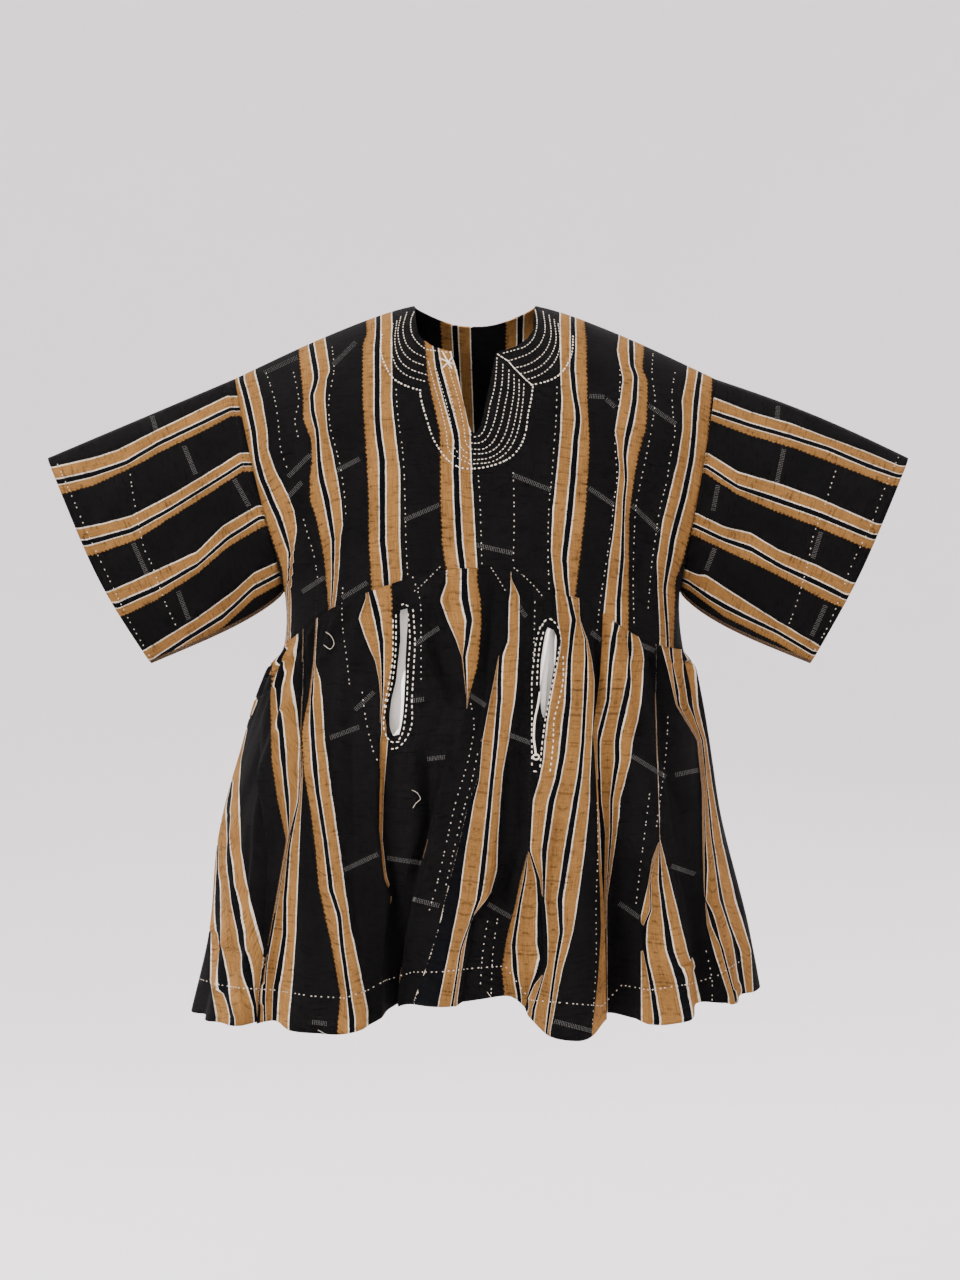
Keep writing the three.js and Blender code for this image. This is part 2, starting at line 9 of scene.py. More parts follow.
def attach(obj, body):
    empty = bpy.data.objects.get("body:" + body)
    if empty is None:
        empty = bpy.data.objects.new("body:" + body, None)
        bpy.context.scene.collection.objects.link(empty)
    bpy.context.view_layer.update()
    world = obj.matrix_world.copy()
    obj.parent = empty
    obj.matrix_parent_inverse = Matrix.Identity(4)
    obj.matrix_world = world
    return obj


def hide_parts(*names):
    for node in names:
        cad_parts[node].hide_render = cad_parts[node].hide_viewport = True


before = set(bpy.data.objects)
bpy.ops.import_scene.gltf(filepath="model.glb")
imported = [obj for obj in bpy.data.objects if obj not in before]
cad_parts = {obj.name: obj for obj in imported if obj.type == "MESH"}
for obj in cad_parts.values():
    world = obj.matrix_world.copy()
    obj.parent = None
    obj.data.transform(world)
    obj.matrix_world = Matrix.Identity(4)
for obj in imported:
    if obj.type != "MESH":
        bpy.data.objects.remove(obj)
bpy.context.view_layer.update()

# Lengths are millimetres, and meshes are scaled by MM as they are made. Across runs 0 to 1 from
# the smock's left edge to its right, down runs 0 to 1 from the top of a panel to its foot.

MM = 0.001
FRONT, BACK = -1, 1
WALL = 1.5  # thickness of the cloth
SEAM_GAP = 0.3
STRIP = 76.0  # width of one woven strip

SHOULDER = {"centre": -3.5, "neck": 66, "crown": 20, "slope": 0.375, "steepening": 0.0003, "softness": 40}
SHOULDER_END_Z = -70
SHOULDER_ROUNDING = 150
SHOULDER_POWER = 2.3  # squareness of the turn from the ridge to the chest
WAIST_SIDE_Z = -365
HEM_Z = -760
SECTION_Z = [-70, -185, -301, -365, -390, -480, -565, -680, -760]
SECTIONS = {
    "left": [-267, -240, -213, -214, -231, -262, -284, -295, -313],
    "right": [261, 241, 222, 226, 239, 254, 266, 292, 305],
    FRONT: [100, 114, 122, 128, 134, 146, 156, 168, 176],
    BACK: [90, 102, 110, 116, 122, 134, 145, 157, 165],
}
SECTION_POWER = 2.5
ARMHOLE_ROUNDNESS = 0.85
SIDE_ROUNDNESS = 0.5
WAIST_DEGREES = [0, 22, 46, 62, 76, 90, 101, 108, 118, 134, 150, 180]
WAIST_SEAM = {
    FRONT: [-365, -350, -316, -297, -282, -279, -286, -304, -311, -344, -360, -365],
    BACK: [-365, -349, -320, -300, -288, -284, -287, -294, -305, -322, -342, -365],
}
HEM_DEGREES = [0, 25, 45, 62, 69, 78, 89, 97, 104, 114, 121, 140, 150, 180]
HEM = {
    FRONT: [-760, -763, -760, -763, -757, -745, -731, -731, -762, -769, -763, -752, -744, -730],
    BACK: [-760, -758, -760, -756, -754, -752, -755, -758, -759, -757, -754, -748, -742, -730],
}
UNDERARM_AT = 11 / 14
ARMHOLE_DEPTH = {FRONT: 46, BACK: 42}
CUFF_DEPTH = {FRONT: 37, BACK: 35}
LENS_POWER = 0.55
EDGE_SHARE = 1e-6  # nearer than this to the ridge or the underarm counts as on it
UNDERARM_SAG_TOWARDS = 0.6  # less than 1 puts the deepest sag nearer the body
BOW_TOWARDS = 1.6  # more than 1 puts the cuff's bow nearer its foot
SLEEVE_LENGTH = 230
SLEEVES = {
    "sleeve_left": {"edge": 0, "top": (-473, -154), "foot": (-359, -380), "rise": 0, "sag": 9, "bow": 7},
    "sleeve_right": {"edge": 1, "top": (473, -154), "foot": (365, -380), "rise": 5, "sag": 11, "bow": 4},
}

# Valleys of the skirt: degrees at the waist and at the hem, degrees either side, and
# depth in the gathers and at the hem.
FOLDS = {
    FRONT: [
        (14, 14, 7, 5, 16), (28, 28, 6, 7, 14), (41, 44.5, 6.5, 10, 34), (51, 59, 6, 6, 14),
        (61, 75, 7, 7, 66), (83, 89, 8, 9, 24), (95, 99, 5, 8, 36), (114, 108, 5, 6, 8),
        (124, 120.5, 7, 8, 68), (136, 133, 6, 8, 12), (147, 145.5, 6, 9, 38), (163, 161, 7, 6, 18),
    ],
    BACK: [
        (15, 16, 7, 6, 18), (30, 33, 7, 8, 40), (44, 47, 6, 7, 16), (58, 62, 7, 9, 58),
        (72, 77, 6, 7, 20), (87, 90, 7, 10, 46), (101, 104, 6, 7, 14), (115, 117, 7, 9, 62),
        (131, 132, 6, 7, 18), (146, 148, 7, 8, 36), (164, 164, 7, 6, 16),
    ],
}
FOLD_SWELL = 14
GATHERS = {"count": 17, "height": 3.4, "foot": 0.42}
HEM_LIFT = 0.24
YOKE_DRAPE = [(16, 27, 8, 7), (38, 45, 7, 5), (72, 66, 9, 4), (112, 117, 9, 4), (141, 137, 7, 5),
    (164, 152, 8, 7)]

# Neckline and slit: half width from the neck's middle, and height of the cloth's edge there.
NECK_EDGE = [
    (0, -136), (3, -134), (6.5, -128), (15, -88), (23, -47.5), (30, -46), (45, -41),
    (57, -32), (63.5, -20), (65.2, -10), (66, 11),
]
NECK_BACK_DEPTH = 54

POCKETS = {
    "pocket_bag_left": {"top": (70.1, 0.06), "foot": (71.6, 0.353), "half": (5, 6.5, 7.5)},
    "pocket_bag_right": {"top": (108.6, 0.078), "foot": (104.7, 0.385), "half": (5, 6.5, 1.6)},
}
BAG = {"wall": 1.1, "front": 3.1, "half_width": 45, "above": 0.1, "below": 0.3, "rim": 6, "bulge": 16}

# The photograph's camera: level, in front of the smock's middle. One pixel is 1.1 mm at Y = 0.
CAMERA = {"x": 2.2, "distance": 2800.0, "z": -354.2, "pixel": 1.1, "width": 960, "height": 1280}


# ---- small functions ----

def smooth(t):
    t = np.clip(t, 0, 1)
    return t * t * (3 - 2 * t)


def bell(t):
    return np.exp(-t * t)


def mix(a, b, t):
    return a + (b - a) * t


class Curve:
    """A smooth curve through a table, held level beyond its ends."""

    def __init__(self, keys, values):
        order = np.argsort(keys)
        self.keys = np.asarray(keys, float)[order]
        self.values = np.asarray(values, float)[order]
        self.slopes = np.empty_like(self.values)
        self.slopes[1:-1] = (self.values[2:] - self.values[:-2]) / (self.keys[2:] - self.keys[:-2])
        self.slopes[0] = (self.values[1] - self.values[0]) / (self.keys[1] - self.keys[0])
        self.slopes[-1] = (self.values[-1] - self.values[-2]) / (self.keys[-1] - self.keys[-2])

    def __call__(self, place):
        place = np.clip(place, self.keys[0], self.keys[-1])
        i = np.clip(np.searchsorted(self.keys, place, side="right") - 1, 0, len(self.keys) - 2)
        span = self.keys[i + 1] - self.keys[i]
        t = (place - self.keys[i]) / span
        t2, t3 = t * t, t * t * t
        return ((2 * t3 - 3 * t2 + 1) * self.values[i] + (t3 - 2 * t2 + t) * self.slopes[i] * span
                + (3 * t2 - 2 * t3) * self.values[i + 1] + (t3 - t2) * self.slopes[i + 1] * span)


SECTION = {name: Curve(SECTION_Z, values) for name, values in SECTIONS.items()}
WAIST = {face: Curve(WAIST_DEGREES, values) for face, values in WAIST_SEAM.items()}
HEM_HEIGHT = {face: Curve(HEM_DEGREES, values) for face, values in HEM.items()}


def ridge_z(x):
    outside = np.abs(x - SHOULDER["centre"]) - SHOULDER["neck"]
    softened = (outside + np.hypot(outside, SHOULDER["softness"])) / 2
    return SHOULDER["crown"] - (SHOULDER["slope"] + SHOULDER["steepening"] * softened) * softened


def waves(across, down, seed, count=7, fineness=(9, 5)):
    """Low, uneven wrinkles between -1 and 1, the same on every run."""
    rng = np.random.default_rng(seed)
    total = np.zeros(np.broadcast(across, down).shape)
    for _ in range(count):
        turns = rng.uniform(0.4, 1.0, 2) * fineness * rng.choice([-1, 1], 2)
        total = total + np.sin(2 * np.pi * (turns[0] * across + turns[1] * down + rng.uniform()))
    return total / count


# ---- the panels' surfaces ----

def armhole_depth(face, down):
    t = np.clip(down / UNDERARM_AT, 0, 1)
    return np.where(down < UNDERARM_AT, ARMHOLE_DEPTH[face] * np.sin(np.pi * t) ** LENS_POWER, 0)


def yoke_point(face, across, down):
    across, down = np.broadcast_arrays(across, down)
    side_z = mix(SHOULDER_END_Z, WAIST_SIDE_Z, down)
    spread = -np.cos(np.pi * across)
    width_share = (1 + spread) / 2
    x = mix(SECTION["left"](side_z), SECTION["right"](side_z), width_share)
    top = ridge_z(mix(SECTIONS["left"][0], SECTIONS["right"][0], width_share))
    z = mix(top, WAIST[face](across * 180), down)
    turned = np.clip((top - z) / SHOULDER_ROUNDING, 0, 1)
    arch = (1 - (1 - turned) ** SHOULDER_POWER) ** (1 / SHOULDER_POWER)
    valleys = sum(deep * bell((across * 180 - mix(at_top, at_foot, down)) / wide)
                  for at_top, at_foot, wide, deep in YOKE_DRAPE)
    drape = valleys * np.sin(np.pi * np.clip(down, 0, 1)) ** 1.5
    full = (SECTION[face](side_z) - drape) * arch
    edge = armhole_depth(face, down)
    roundness = mix(ARMHOLE_ROUNDNESS, SIDE_ROUNDNESS, smooth((down - 0.5) / (UNDERARM_AT - 0.5)))
    curve = (1 - np.abs(spread) ** SECTION_POWER) ** roundness
    return np.stack([x, face * (edge + (full - edge) * curve + SEAM_GAP / 2), z], axis=-1)


def fold_relief(face, across, down):
    degrees = across * 180
    hanging = smooth((down - 0.12) / 0.88) * down
    gathered = smooth(down / 0.07) * (1 - smooth(down / 0.8))
    valleys = sum((gather * gathered + deep * hanging) * bell((degrees - mix(waist, hem, down)) / wide)
                  for waist, hem, wide, gather, deep in FOLDS[face])
    small = GATHERS["height"] * np.sin(2 * np.pi * GATHERS["count"] * across)
    small_share = smooth(down / 0.05) * (1 - smooth(down / GATHERS["foot"]))
    swell = FOLD_SWELL * hanging * np.sin(np.pi * np.clip(across, 0, 1)) ** 0.5
    return swell - valleys + small * small_share


def skirt_point(face, across, down, extra=0):
    across, down = np.broadcast_arrays(across, down)
    side_z = mix(WAIST_SIDE_Z, HEM_Z, down)
    spread = -np.cos(np.pi * across)
    left, right = SECTION["left"](side_z), SECTION["right"](side_z)
    depth = SECTION[face](side_z)
    curve = np.sqrt(np.clip(1 - np.abs(spread) ** SECTION_POWER, 0, 1))
    out_x = SECTION_POWER * np.sign(spread) * np.abs(spread) ** (SECTION_POWER - 1) / (right - left)
    out_y = curve / depth
    relief = fold_relief(face, across, down) + extra
    length = np.hypot(out_x, out_y)
    return np.stack([
        mix(left, right, (1 + spread) / 2) + relief * out_x / length,
        face * (depth * curve + relief * out_y / length + SEAM_GAP / 2),
        mix(WAIST[face](across * 180) - SEAM_GAP * (1 - down), HEM_HEIGHT[face](across * 180), down)
        + HEM_LIFT * np.clip(-relief, 0, None) * down,
    ], axis=-1)


def sleeve_point(sleeve, around, along):
    around, along = np.broadcast_arrays(around, along)
    in_front = around <= 0.5
    fall = np.where(in_front, around * 2, 2 - around * 2)
    outward = -1 if sleeve["edge"] == 0 else 1
    start = np.where(in_front[..., None], yoke_point(FRONT, sleeve["edge"], fall * UNDERARM_AT),
                     yoke_point(BACK, sleeve["edge"], fall * UNDERARM_AT))
    top = yoke_point(FRONT, sleeve["edge"], 0)
    foot = yoke_point(FRONT, sleeve["edge"], UNDERARM_AT)
    to_x = mix(sleeve["top"][0] - top[0], sleeve["foot"][0] - foot[0], fall)
    to_z = mix(sleeve["top"][1] - top[2], sleeve["foot"][1] - foot[2], fall)
    lens = np.clip(np.sin(np.pi * np.clip(fall, 0, 1)), 0, 1) ** LENS_POWER
    at_edge = (fall < EDGE_SHARE) | (fall > 1 - EDGE_SHARE)
    start_depth = np.where(at_edge, 0, np.abs(start[..., 1]))
    cuff_depth = np.where(in_front, CUFF_DEPTH[FRONT], CUFF_DEPTH[BACK]) * lens
    depth = mix(start_depth, cuff_depth, along)
    sag = sleeve["sag"] * fall * np.sin(np.pi * along ** UNDERARM_SAG_TOWARDS)
    rise = sleeve["rise"] * (1 - fall) * np.sin(np.pi * along)
    bow = sleeve["bow"] * along * np.sin(np.pi * np.clip(fall, 0, 1) ** BOW_TOWARDS)
    return np.stack([
        start[..., 0] + to_x * along + outward * (SEAM_GAP + bow),
        np.where(in_front, -depth, depth),
        start[..., 2] + to_z * along - sag + rise,
    ], axis=-1)


# ---- the photograph's view ----

def to_pixels(points):
    near = (CAMERA["distance"] + points[..., 1]) / CAMERA["distance"] * CAMERA["pixel"]
    px = CAMERA["width"] / 2 + (points[..., 0] - CAMERA["x"]) / near
    py = CAMERA["height"] / 2 - (points[..., 2] - CAMERA["z"]) / near
    return px, py


def line(*points):
    """A line down the photograph, as (row, column) pixels."""
    return np.array(points, float)


def column_at(points, py):
    return np.interp(py, points[:, 0], points[:, 1])


# Distances from a strip's selvedge that the tables below follow down the cloth.
SELVEDGE, NAVY, EDGE, NEXT = 0.0, 17.2, 35.4, 75.9
SEWN = 3.0  # where two selvedges are sewn edge to edge

# The yoke's strips, with the distance from the first strip's selvedge. The three on the
# right are sewn in the other way round, so the distance falls again.
MIDDLE_SEAM = 304
YOKE_LINES = [
    (0, line((380, 228), (410, 234), (440, 241), (470, 244), (500, 258), (530, 268), (570, 282),
        (590, 284))),
    (17.2, line((380, 241), (400, 247), (430, 253.5), (460, 257), (480, 262), (500, 270), (520, 279),
        (552, 291), (590, 288))),
    (35.4, line((372, 255), (400, 262), (430, 267), (450, 268), (470, 275), (490, 286), (510, 295),
        (530, 297), (550, 293), (590, 290))),
    (76, line((350, 298), (400, 303), (420, 303), (440, 311), (460, 312), (480, 309), (500, 309),
        (520, 316), (560, 324), (610, 329))),
    (93.2, line((345, 311), (378, 317), (385, 315), (395, 311), (410, 312), (430, 317), (460, 318),
        (480, 321), (500, 327), (520, 330), (540, 334), (580, 333), (610, 331))),
    (111.4, line((340, 325), (370, 330), (380, 326), (400, 325), (430, 327), (450, 332), (480, 338),
        (500, 341), (525, 343), (540, 340), (580, 338), (612, 333))),
    (152, line((335, 366), (345, 362), (400, 362), (430, 364), (460, 366), (500, 368), (540, 368),
        (590, 371))),
    (169.2, line((335, 378), (350, 377), (420, 377), (440, 379), (460, 382), (540, 382), (560, 384),
        (590, 387))),
    (187.4, line((335, 392), (400, 392), (440, 396), (470, 400), (540, 400), (575, 402), (600, 399))),
    (228, line((340, 424), (375, 427), (400, 432), (430, 439), (500, 440), (540, 441), (560, 444),
        (580, 448))),
    (245.2, line((340, 434), (370, 438), (400, 446), (430, 455), (440, 457), (470, 456), (500, 457),
        (540, 459), (580, 464))),
    (263.4, line((340, 447), (372, 457), (400, 464), (430, 470), (450, 471), (480, 472), (510, 474),
        (570, 477), (600, 483))),
    (MIDDLE_SEAM, line((350, 515), (465, 513), (600, 513))),
    (263.4, line((320, 560), (380, 561), (400, 562), (440, 560), (480, 556), (510, 553), (550, 551),
        (580, 554), (600, 557))),
    (245.2, line((350, 573), (370, 572), (390, 574), (410, 578), (420, 579), (440, 576), (480, 573),
        (520, 569), (560, 564), (580, 566), (600, 569))),
    (228, line((320, 585), (340, 587), (400, 588), (440, 590), (470, 589), (500, 587), (540, 583),
        (580, 578), (600, 575))),
    (187.4, line((338, 619), (350, 617), (380, 623), (400, 620), (430, 615), (450, 618), (470, 620),
        (500, 617), (530, 614), (560, 609), (620, 603))),
    (169.2, line((345, 631), (365, 632), (375, 636), (400, 635), (420, 631), (440, 626), (455, 624),
        (480, 626), (500, 624), (560, 623), (600, 619))),
    (152, line((347, 645), (370, 643), (380, 648), (400, 648), (430, 647), (440, 643), (460, 638),
        (480, 634), (520, 629), (600, 629))),
    (111.4, line((368, 688), (380, 686), (400, 682), (430, 683), (460, 678), (480, 673), (500, 668),
        (520, 663), (540, 660), (560, 657), (630, 660))),
    (93.2, line((372, 700), (400, 696), (440, 693), (460, 691), (480, 687), (500, 683), (520, 677),
        (540, 672), (560, 669), (590, 664), (640, 668))),
    (76, line((377, 713), (400, 712), (450, 708), (480, 703), (500, 699), (520, 695), (540, 689),
        (560, 684), (580, 676), (640, 674))),
]

# Lines down the skirt front. Each starts with the distance from the selvedge on its left and
# on its right: where they differ, the cloth between them is hidden in a fold.
SKIRT_LINES = [
    # side bundle: two bands back to back
    (40, EDGE, line((600, 215), (880, 207), (930, 211), (980, 210), (1017, 216))),
    (NAVY, NAVY, line((600, 226), (880, 217), (920, 218), (960, 221), (990, 225), (1018, 233))),
    (SEWN, SEWN, line((600, 232), (790, 222), (850, 221), (900, 226), (935, 230), (990, 239), (1018, 245))),
    (NAVY, NAVY, line((600, 262), (702, 250), (750, 236), (800, 229), (850, 228), (900, 233),
        (935, 240), (970, 247), (1005, 256), (1018, 257))),
    (EDGE, EDGE, line((600, 270), (702, 257), (725, 248), (760, 241), (790, 239), (850, 241),
        (900, 250), (925, 257), (955, 265), (990, 259), (1020, 257.6))),
    # second band, which runs out at the first valley
    (NEXT, SELVEDGE, line((585, 284), (600, 283), (665, 272), (700, 270), (760, 271), (800, 277),
        (840, 286), (955, 266), (990, 259.5), (1020, 258))),
    (NAVY, NAVY, line((585, 290), (640, 285), (690, 277), (740, 281), (800, 287), (832, 289.5),
        (955, 266.4), (990, 259.8), (1020, 258.3))),
    (EDGE, EDGE, line((585, 297), (640, 298), (680, 292), (710, 297), (740, 300), (800, 298),
        (832, 290), (955, 266.8), (990, 260), (1020, 258.6))),
    # third band, on the fold below it
    (45, 30, line((585, 303.5), (740, 300.5), (800, 298.3), (832, 291), (860, 283), (900, 275),
        (945, 268), (990, 262), (1020, 260))),
    (NAVY, NAVY, line((585, 304), (740, 301), (775, 301.5), (850, 286), (900, 278), (935, 271),
        (965, 266), (1000, 264), (1020, 265))),
    (SEWN, SEWN, line((585, 304.1), (740, 301.1), (775, 301.6), (850, 287), (900, 280), (935, 277),
        (965, 271), (1000, 269), (1020, 269))),
    (NAVY, NAVY, line((585, 304.2), (740, 301.2), (775, 302), (850, 288), (900, 284), (935, 284),
        (965, 279), (990, 274), (1020, 273))),
    (EDGE, EDGE, line((585, 304.3), (740, 301.5), (775, 303), (830, 300), (880, 298), (930, 296),
        (975, 293), (1020, 289))),
    # fourth band, a wedge
    (NEXT, SELVEDGE, line((585, 318), (663, 313), (700, 308), (737, 300.3), (775, 304), (810, 310),
        (850, 315), (885, 318), (910, 323), (945, 331), (995, 340), (1025, 337))),
    (NAVY, NAVY, line((585, 318.3), (663, 314), (700, 311), (735, 313), (790, 317), (840, 325),
        (890, 331), (915, 340), (945, 342), (985, 347), (1020, 352))),
    (EDGE, EDGE, line((585, 319), (663, 315), (680, 320), (700, 322), (745, 325), (790, 331),
        (830, 337), (890, 345), (930, 351), (970, 360), (1010, 368))),
    # band beside the left pocket, and the sliver of tan below it
    (NEXT, EDGE, line((585, 365), (598, 366), (618, 358.5), (635, 364), (650, 370), (660, 375),
        (680, 379), (700, 380.5), (740, 379.5), (830, 378), (880, 384), (893, 390), (990, 383),
        (1020, 384))),
    (NAVY, NAVY, line((585, 367), (600, 371.5), (610, 375.5), (620, 378), (640, 381.5), (660, 382),
        (700, 382), (720, 380.5), (740, 380), (830, 378.3), (880, 384.3), (893, 390.3), (990, 383.3),
        (1020, 384.3))),
    (SELVEDGE, 24, line((585, 392), (640, 394), (660, 392.5), (680, 391), (700, 387), (715, 385),
        (735, 385), (741, 381), (760, 380.6), (830, 378.6), (880, 384.6), (893, 390.6), (990, 383.6),
        (1020, 384.6))),
    (EDGE, NEXT, line((585, 392.3), (640, 394.3), (660, 392.8), (680, 391.3), (700, 387.3),
        (715, 385.3), (735, 386.5), (741, 388), (770, 385.5), (800, 383.5), (840, 382.5), (875, 386.5),
        (893, 392), (990, 384.5), (1020, 385.5))),
    # left pocket
    (60, 60, line((604, 404), (608, 401), (614, 400), (640, 400), (660, 398), (680, 396), (700, 391),
        (715, 389), (727, 389), (735, 392), (739, 395), (741, 396), (1020, 397))),
    (60, 60, line((604, 404.2), (608, 407), (614, 408), (640, 406.5), (660, 405.5), (680, 405),
        (700, 404), (715, 403), (727, 401), (735, 399), (739, 397), (741, 396.2), (1020, 397.2))),
    # wedge above the dotted panel
    (NEXT, EDGE, line((583, 446), (600, 440), (620, 447), (640, 456), (658, 462), (690, 465.5),
        (708, 466.5), (745, 455), (800, 437), (850, 425), (900, 413), (930, 405), (990, 398.5))),
    (NAVY, NAVY, line((583, 465), (600, 466), (620, 470.5), (640, 467), (650, 464.5), (658, 463),
        (690, 466), (708, 466.8), (745, 455.3), (800, 437.3), (850, 425.3), (930, 405.3), (990, 398.8))),
    (SELVEDGE, 72, line((583, 478), (600, 481), (620, 482), (660, 479), (670, 477), (690, 471),
        (708, 467.2), (745, 455.6), (800, 437.6), (850, 425.6), (930, 405.6), (990, 399.1))),
    # middle band
    (40, 20.5, line((579, 510), (600, 506), (640, 504.8), (655, 498.3), (680, 493.5), (700, 489),
        (740, 481), (780, 478), (800, 469), (840, 460), (872, 452), (900, 445), (930, 438), (965, 427),
        (1000, 414))),
    (NAVY, NAVY, line((579, 510.2), (600, 506.2), (640, 505), (655, 498.5), (680, 493.8), (700, 489.3),
        (740, 481.5), (780, 478.5), (800, 472.5), (850, 463), (900, 456.5), (950, 447), (1010, 435))),
    (SEWN, SEWN, line((579, 510.4), (600, 506.4), (640, 505.2), (655, 498.7), (680, 495), (700, 492),
        (750, 485), (800, 480), (850, 474), (900, 468), (950, 456), (1010, 444))),
    (NAVY, NAVY, line((579, 510.6), (600, 506.6), (640, 505.4), (655, 499), (680, 498), (700, 498.5),
        (750, 495), (800, 490), (850, 485), (900, 479), (950, 461), (1010, 452))),
    (EDGE, EDGE, line((579, 511), (588, 516), (597, 519.5), (640, 519), (680, 517), (700, 515),
        (720, 511.5), (740, 509), (770, 503), (800, 500.5), (840, 498), (870, 497), (895, 490),
        (920, 470), (940, 466), (1000, 457))),
    # wedge right of the middle
    (NEXT, SELVEDGE, line((583, 535), (850, 528), (880, 520), (905, 515), (930, 508), (945, 505),
        (970, 501), (990, 503), (1010, 505))),
    (NAVY, NAVY, line((583, 535.2), (850, 528.2), (880, 524), (905, 519), (945, 513), (970, 515),
        (997, 520), (1010, 521))),
    (SEWN, SEWN, line((583, 535.4), (850, 528.4), (880, 531), (905, 527), (945, 524), (970, 527),
        (1003, 527), (1020, 521.5))),
    (NAVY, 40, line((583, 535.6), (850, 528.6), (880, 538), (905, 540), (945, 540), (962, 544),
        (975, 539), (1003, 527.5), (1020, 522))),
    # right pocket
    (60, 60, line((600, 549), (625, 550), (628, 547), (632, 545.5), (640, 544), (660, 541), (680, 540),
        (700, 540), (710, 541), (718, 543), (724, 544.5), (740, 543.6), (750, 539.7), (800, 532.6),
        (850, 529), (880, 539), (905, 542), (945, 545), (962, 545.6), (1010, 525.6))),
    (60, 60, line((600, 549.2), (625, 550.3), (628, 553), (632, 556), (640, 558), (650, 557),
        (660, 556), (680, 552), (700, 549), (715, 546), (724, 544.8), (740, 543.8), (750, 539.9),
        (800, 532.8), (850, 529.5), (880, 539.5), (905, 542.5), (945, 545.5), (962, 545.8),
        (1010, 525.8))),
    # bundle under the fifth strip
    (40, EDGE, line((583, 554), (600, 556), (620, 557.5), (640, 561), (650, 560), (660, 558),
        (680, 554), (700, 550), (720, 547), (740, 544.5), (760, 543), (780, 539), (800, 533),
        (850, 530), (880, 540), (905, 543), (945, 546), (962, 546), (985, 537), (1010, 527),
        (1025, 523))),
    (NAVY, NAVY, line((583, 566), (600, 570), (620, 575.5), (640, 571.5), (660, 569.5), (680, 569),
        (700, 569), (720, 566.5), (740, 564.5), (760, 562), (780, 558), (800, 552), (850, 544.5),
        (900, 543), (945, 546.5), (962, 547), (1010, 533), (1030, 530.5))),
    (SEWN, SEWN, line((583, 577), (620, 579), (640, 580), (660, 579), (700, 577.5), (750, 574),
        (800, 564), (850, 555), (900, 550), (932, 554), (970, 548), (1010, 541), (1032, 540))),
    (NAVY, NAVY, line((583, 577.5), (620, 579.5), (640, 586), (660, 586.5), (700, 585), (740, 583),
        (780, 579.5), (800, 575.5), (850, 567), (900, 559), (932, 561), (970, 555), (1032, 547))),
    (EDGE, EDGE, line((583, 578), (620, 580), (640, 587.5), (660, 592), (680, 594.5), (700, 594),
        (740, 592), (780, 590), (800, 590), (850, 585), (900, 578), (932, 573), (970, 562), (1032, 550))),
    # ridge beside the deep valley, with a frayed edge
    (NEXT, 2, line((583, 604), (640, 602), (675, 600), (700, 597), (730, 593), (760, 595), (800, 597),
        (850, 598), (890, 600), (930, 601), (980, 598), (1032, 592))),
    (12, 12, line((583, 605), (620, 612), (640, 609), (670, 607), (700, 605), (730, 597), (760, 597),
        (800, 598.5), (850, 600), (890, 603), (930, 605), (980, 606), (1032, 606))),
    (NAVY, NAVY, line((583, 619.5), (600, 620), (620, 618.5), (640, 613.5), (660, 610.5), (680, 609),
        (700, 608), (720, 603), (740, 597.5), (760, 598), (800, 600), (832, 605), (900, 604),
        (1032, 606.3))),
    (SEWN, SEWN, line((583, 629), (600, 629), (640, 623), (680, 619), (700, 616), (750, 608),
        (800, 606), (832, 606), (900, 605), (1032, 606.6))),
    (NAVY, NAVY, line((583, 629.5), (620, 629.5), (640, 629), (660, 629), (680, 629), (700, 624.5),
        (720, 619.5), (740, 616), (760, 617), (800, 611), (832, 611), (900, 606), (1032, 607))),
    (EDGE, EDGE, line((583, 630), (620, 630), (640, 640), (650, 643), (660, 644), (680, 643),
        (700, 641.5), (720, 638), (740, 633), (760, 630.5), (800, 620), (832, 617), (900, 607),
        (1032, 607.6))),
    # wedge on the big ridge
    (NEXT, EDGE, line((583, 656), (700, 655), (840, 659), (860, 652), (885, 648), (915, 641), (1021, 641))),
    (NAVY, NAVY, line((583, 656.2), (700, 655.2), (840, 659.2), (880, 650), (910, 651), (930, 642),
        (945, 642), (985, 651), (1018, 656))),
    (SEWN, SEWN, line((583, 656.4), (700, 655.4), (840, 659.4), (880, 652), (910, 654), (945, 653),
        (985, 664), (1018, 671))),
    (NAVY, NAVY, line((583, 656.6), (700, 655.6), (840, 659.6), (880, 660), (910, 664), (950, 670),
        (978, 679), (1018, 687))),
    (EDGE, EDGE, line((583, 656.8), (700, 655.8), (840, 660), (880, 670), (920, 680), (950, 687),
        (975, 695), (1015, 704))),
    # seventh strip's band at the right side
    (NEXT, EDGE, line((583, 658), (640, 660), (670, 668), (705, 676), (740, 697), (790, 702),
        (860, 703), (890, 704), (925, 707), (955, 715), (995, 728))),
    (NAVY, NAVY, line((583, 666), (640, 670), (670, 673), (705, 678), (740, 699), (790, 704),
        (840, 705), (900, 705), (950, 722), (1010, 738))),
    (SEWN, SEWN, line((583, 674), (640, 677), (670, 679), (705, 684), (740, 700), (790, 705),
        (840, 708), (900, 713), (950, 728), (1010, 741))),
    (NAVY, NAVY, line((583, 676), (640, 681), (670, 685), (705, 690), (740, 702), (790, 707),
        (840, 712), (900, 721), (950, 737), (1010, 747))),
    (EDGE, EDGE, line((583, 678), (640, 684), (670, 696), (705, 698), (740, 706), (790, 713),
        (840, 722), (900, 736), (950, 751), (1010, 754))),
]
